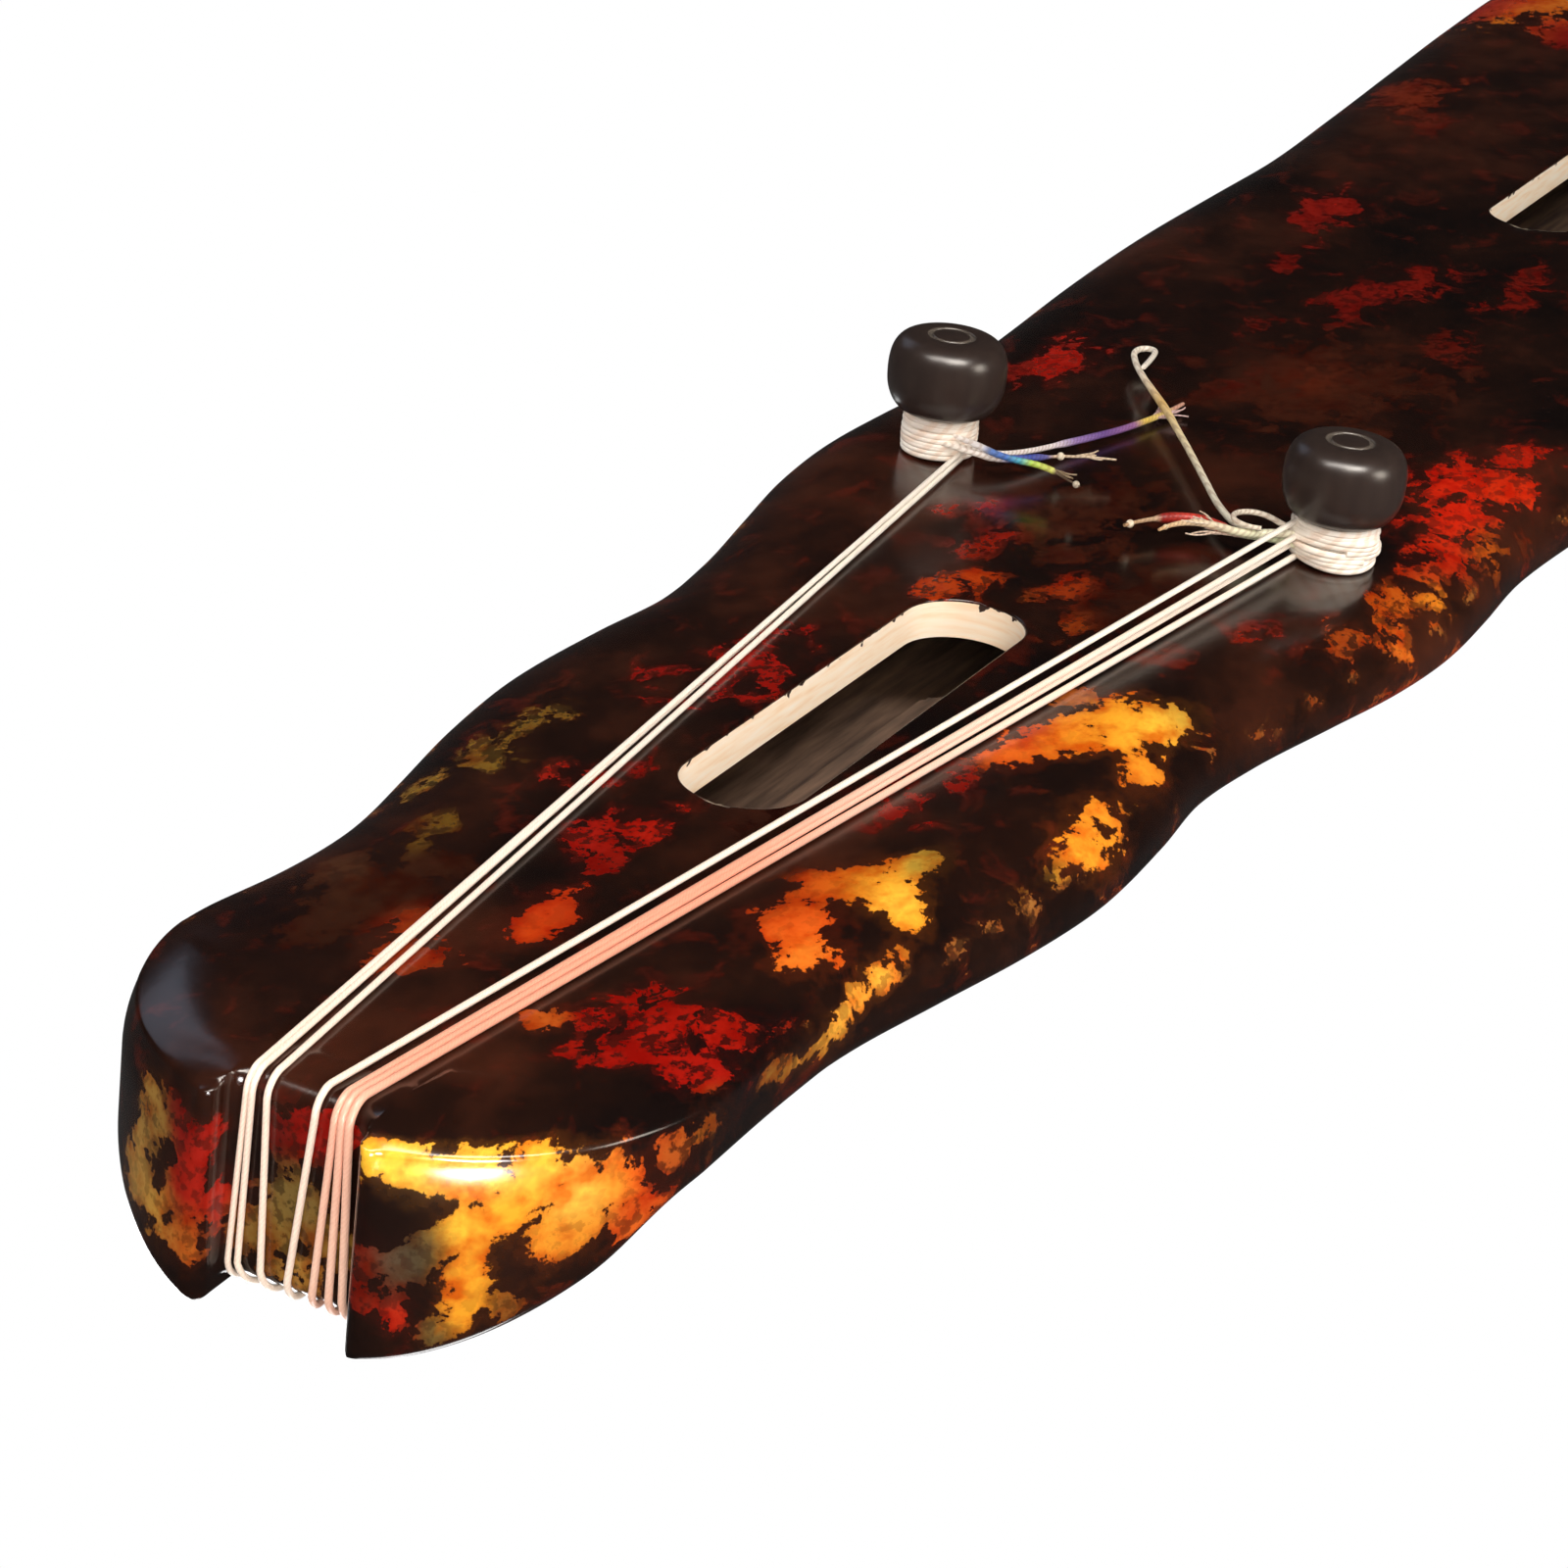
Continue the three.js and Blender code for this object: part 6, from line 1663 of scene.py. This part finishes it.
# Hand-twisted silk has a soft bloom, and its fibres show as fine streaks of red and brown
cord_silk, cord_shader = new_material(
    "twisted_red_brown_silk", {"Roughness": 0.55, "Sheen Weight": 0.35},
)
cord_place = add_node(cord_silk, "TexCoord")
cord_fibre = add_node(
    cord_silk, "TexNoise", {"Vector": cord_place.outputs["Object"]},
    {"Scale": 1 / (0.4 * MM), "Detail": 2.0},
)
cord_tone = add_node(
    cord_silk, "ValToRGB", {"Fac": cord_fibre.outputs["Fac"]},
    stops=[(0.35, "#5a1a12"), (0.7, "#8f3423")],
)
feed(cord_shader, {"Base Color": cord_tone.outputs["Color"]})
for i, y in enumerate(string_ys):
    face = arch(peg_station, y) + collector_proud
    rise = face + cord_thick / 2 + string_gap
    peg_end = peg_top - underside - peg_hole_deep + string_gap + cord_thick / 2
    turn = hole_radius - cord_thick / 2
    knot_side = knot_station + knot_radius + string_gap
    # Up from the peg, over the edge of the hole and down to the knot
    middle = smooth_path(place_grid(*np.array([
        (peg_station, y, peg_end), (peg_station, y, face - cord_deep),
        (peg_station, y, face - cord_thick),
        (peg_station - 0.25 * turn, y, rise - 0.35 * cord_thick),
        (peg_station - turn, y, rise + 0.1 * cord_thick),
        (peg_station - 2.5 * turn, y, rise + 0.25 * cord_thick),
        (knot_side + cord_thick / 2, y, knot_level(y)), (knot_side, y, knot_level(y)),
    ]).T), per_span=14)
    phase = along(middle)[:, None] / cord_twist * 2 * np.pi
    tangent = np.gradient(middle, axis=0)
    tangent /= np.linalg.norm(tangent, axis=1)[:, None]
    level_across = np.array((0, 1.0, 0))
    across_cord = np.cross(level_across, tangent)
    strands = []
    for half_turn in (0, np.pi):
        aside = np.cos(phase + half_turn) * across_cord + np.sin(phase + half_turn) * level_across
        strand = middle + strand_away_share * cord_thick * aside
        strand_radius = strand_radius_share * cord_thick
        strands.append((tube_grid(strand, strand_radius, level_across, sides=12), 0, False))
    cord = add_mesh(f"peg_cord_{i + 1}", strands, [cord_silk], crease=80)
    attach(cord, "instrument")
    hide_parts(f"peg_cord_{i + 1}")


# Peg guards: rosewood cheeks at both ends of the row of pegs, sawn to a tapered outline with
# rounded edges, which take the instrument's weight when it is stood on the floor
# Half of the outline, as (distance from its middle line, height above the floor)
guard_outline = [
    (0, 0), (9, 0), (13, 0.15), (15.6, 1.2), (17.5, 5.0), (20.2, 13.6), (23, 22.3), (23, 24.8),
    (23, 27.2), (21.5, underside), (12, underside), (0, underside),
]
guard_inner, guard_thick, guard_edge = 67.4, 11.0, 1.3
half_line = finer(guard_outline, steps=4)
guard_line = np.concatenate([half_line, half_line[::-1][1:] * (-1, 1)])
guard_line[:, 1] = np.clip(guard_line[:, 1], 0, underside)
guard_along = np.gradient(guard_line, axis=0)
guard_along[0] = guard_along[-1] = (1, 0)
guard_out = np.stack([guard_along[:, 1], -guard_along[:, 0]], axis=1)
guard_out /= np.linalg.norm(guard_out, axis=1)[:, None]
edge_turn = np.linspace(0, np.pi / 2, 7)
edge_start = guard_edge * (1 - np.sin(edge_turn))
edge_stop = guard_edge * (1 - np.cos(edge_turn))
inset = np.concatenate([edge_start, edge_stop])[:, None]
level_y = np.concatenate([edge_stop, guard_thick - edge_start])[:, None]
for name, side in (("peg_guard_left", 1), ("peg_guard_right", -1)):
    guard_x = guard_line[:, 0] - inset * guard_out[:, 0]
    guard_z = np.clip(guard_line[:, 1] - inset * guard_out[:, 1], 0, underside)
    rings = np.stack([
        peg_station - board_length / 2 + guard_x,
        np.broadcast_to(side * (guard_inner + level_y), guard_x.shape), guard_z,
    ], axis=2)
    guard = add_mesh(name, [(ring_grid(rings), 0, side < 0)], [rosewood], crease=40)
    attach(guard, "instrument")
    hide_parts(name)


# Floor, backdrop and lamps. The floor is matt and pale. It is seen from above only, because this
# view is from below it, and shadow and glossy rays pass it, so that the soft lamps below reach
# the instrument. The lacquer reflects a dim room, as in the photograph.
floor_glow, floor_half = 0.65, 9000.0
pale_paint, floor_shader = new_material(
    "pale_floor_paint", {"Roughness": 0.9, "Base Color": srgb("#f4f2ee")},
)
clear = add_node(pale_paint, "BsdfTransparent")
seen_face = add_node(pale_paint, "NewGeometry")
floor_rays = add_node(pale_paint, "LightPath")
not_camera = add_node(
    pale_paint, "Math",
    {0: floor_rays.outputs["Is Shadow Ray"], 1: floor_rays.outputs["Is Glossy Ray"]},
    operation="MAXIMUM",
)
unseen = add_node(
    pale_paint, "Math", {0: seen_face.outputs["Backfacing"], 1: not_camera.outputs[0]},
    operation="MAXIMUM",
)
glow_share = add_node(
    pale_paint, "Math", {0: floor_rays.outputs["Is Camera Ray"]}, {1: floor_glow},
    operation="MULTIPLY",
)
glow = add_node(pale_paint, "Emission", values={"Color": srgb("#ffffff"), "Strength": 1.0})
floor_face = add_node(
    pale_paint, "MixShader",
    {0: glow_share.outputs[0], 1: floor_shader.outputs[0], 2: glow.outputs[0]},
)
floor_mix = add_node(
    pale_paint, "MixShader", {0: unseen.outputs[0], 1: floor_face.outputs[0], 2: clear.outputs[0]},
)
feed(pale_paint.node_tree.nodes["Material Output"], {"Surface": floor_mix.outputs[0]})
floor_line = np.array([-floor_half, floor_half])
floor_points = np.stack(np.meshgrid(floor_line, floor_line, [0.0], indexing="ij"), axis=-1)[:, :, 0]
floor = add_mesh("pale_floor", [(floor_points, 0, False)], [pale_paint])

# The camera sees a white room, and so does whatever is seen through. The lacquer reflects a dim
# one, which is lighter above, and a soft fill lights everything.
world = bpy.data.worlds.new("white_room")
bpy.context.scene.world = world
world.use_nodes = True
room_rays = add_node(world, "LightPath")
seen_through = add_node(
    world, "Math",
    {0: room_rays.outputs["Is Camera Ray"], 1: room_rays.outputs["Is Transmission Ray"]},
    operation="MAXIMUM",
)
room_place = add_node(world, "TexCoord")
room_axes = add_node(world, "SeparateXYZ", {"Vector": room_place.outputs["Generated"]})
room_height = add_node(
    world, "MapRange", {"Value": room_axes.outputs["Z"]},
    {"From Min": -0.22, "From Max": 0.3, "To Min": 0.012, "To Max": 0.055},
)
room_gloss = add_node(
    world, "Background", {"Strength": room_height.outputs[0]}, {"Color": srgb("#e6e4e2")},
)
room_fill = add_node(world, "Background", values={"Color": srgb("#f4f0ea"), "Strength": 0.35})
room_white = add_node(world, "Background", values={"Color": srgb("#ffffff"), "Strength": 1.0})
room_soft = add_node(
    world, "MixShader",
    {0: room_rays.outputs["Is Glossy Ray"], 1: room_fill.outputs[0], 2: room_gloss.outputs[0]},
)
room_seen = add_node(
    world, "MixShader",
    {0: seen_through.outputs[0], 1: room_soft.outputs[0], 2: room_white.outputs[0]},
)
feed(world.node_tree.nodes["World Output"], {"Surface": room_seen.outputs[0]})


# Name, place, aim, width and height in metres, watts, colour, and the setting that is turned off:
# two lamps show only in reflections, and one only in the light that it sheds
lamps = [
    ("key_below", (-0.95, 0.6, -1.2), (-0.35, 0, 0.03), (0.8, 0.36), 15, "#fff6ea", None),
    ("window_at_tail", (-0.709, 0.135, 0.008), (-0.601, 0.031, 0.03), (0.09, 0.045), 0.036,
     "#ffffff", "visible_diffuse"),
    ("white_sheet_over_the_feet", (-0.84, 0.175, -1.03), (-0.267, 0, 0.01), (1.4, 0.3), 20,
     "#fff8f0", "visible_diffuse"),
    ("fill_by_the_camera", (-1.35, 0.42, -0.42), (-0.4, 0, 0.04), (0.3, 0.3), 6,
     "#fff2e2", "visible_glossy"),
    ("near_side_below", (-0.25, 1.35, -0.55), (-0.35, 0, 0.03), (0.5, 0.5), 9, "#fff4e4", None),
    ("far_side_below", (0.05, -0.94, -0.6), (-0.6, 0, 0.03), (0.6, 0.4), 0.7, "#cfdcf4", None),
    ("fill_above", (0.6, -1.2, 1.8), (0, 0, 0.05), (1.2, 1.2), 34, "#ffffff", None),
    ("front_above", (-0.2, 0.3, 2.2), (0, 0, 0.05), (1.0, 1.0), 30, "#ffffff", None),
]
for name, place, aim, size, power, colour, turned_off in lamps:
    data = bpy.data.lights.new(name, "AREA")
    data.shape = "RECTANGLE"
    data.size, data.size_y = size
    data.energy = power
    data.color = srgb(colour)[:3]
    lamp = bpy.data.objects.new(name, data)
    lamp.location = place
    lamp.rotation_euler = (Vector(aim) - Vector(place)).to_track_quat("-Z", "Y").to_euler()
    lamp.visible_camera = False
    if turned_off:
        setattr(lamp, turned_off, False)
    bpy.context.scene.collection.objects.link(lamp)
bpy.data.lights["window_at_tail"].spread = math.radians(30)
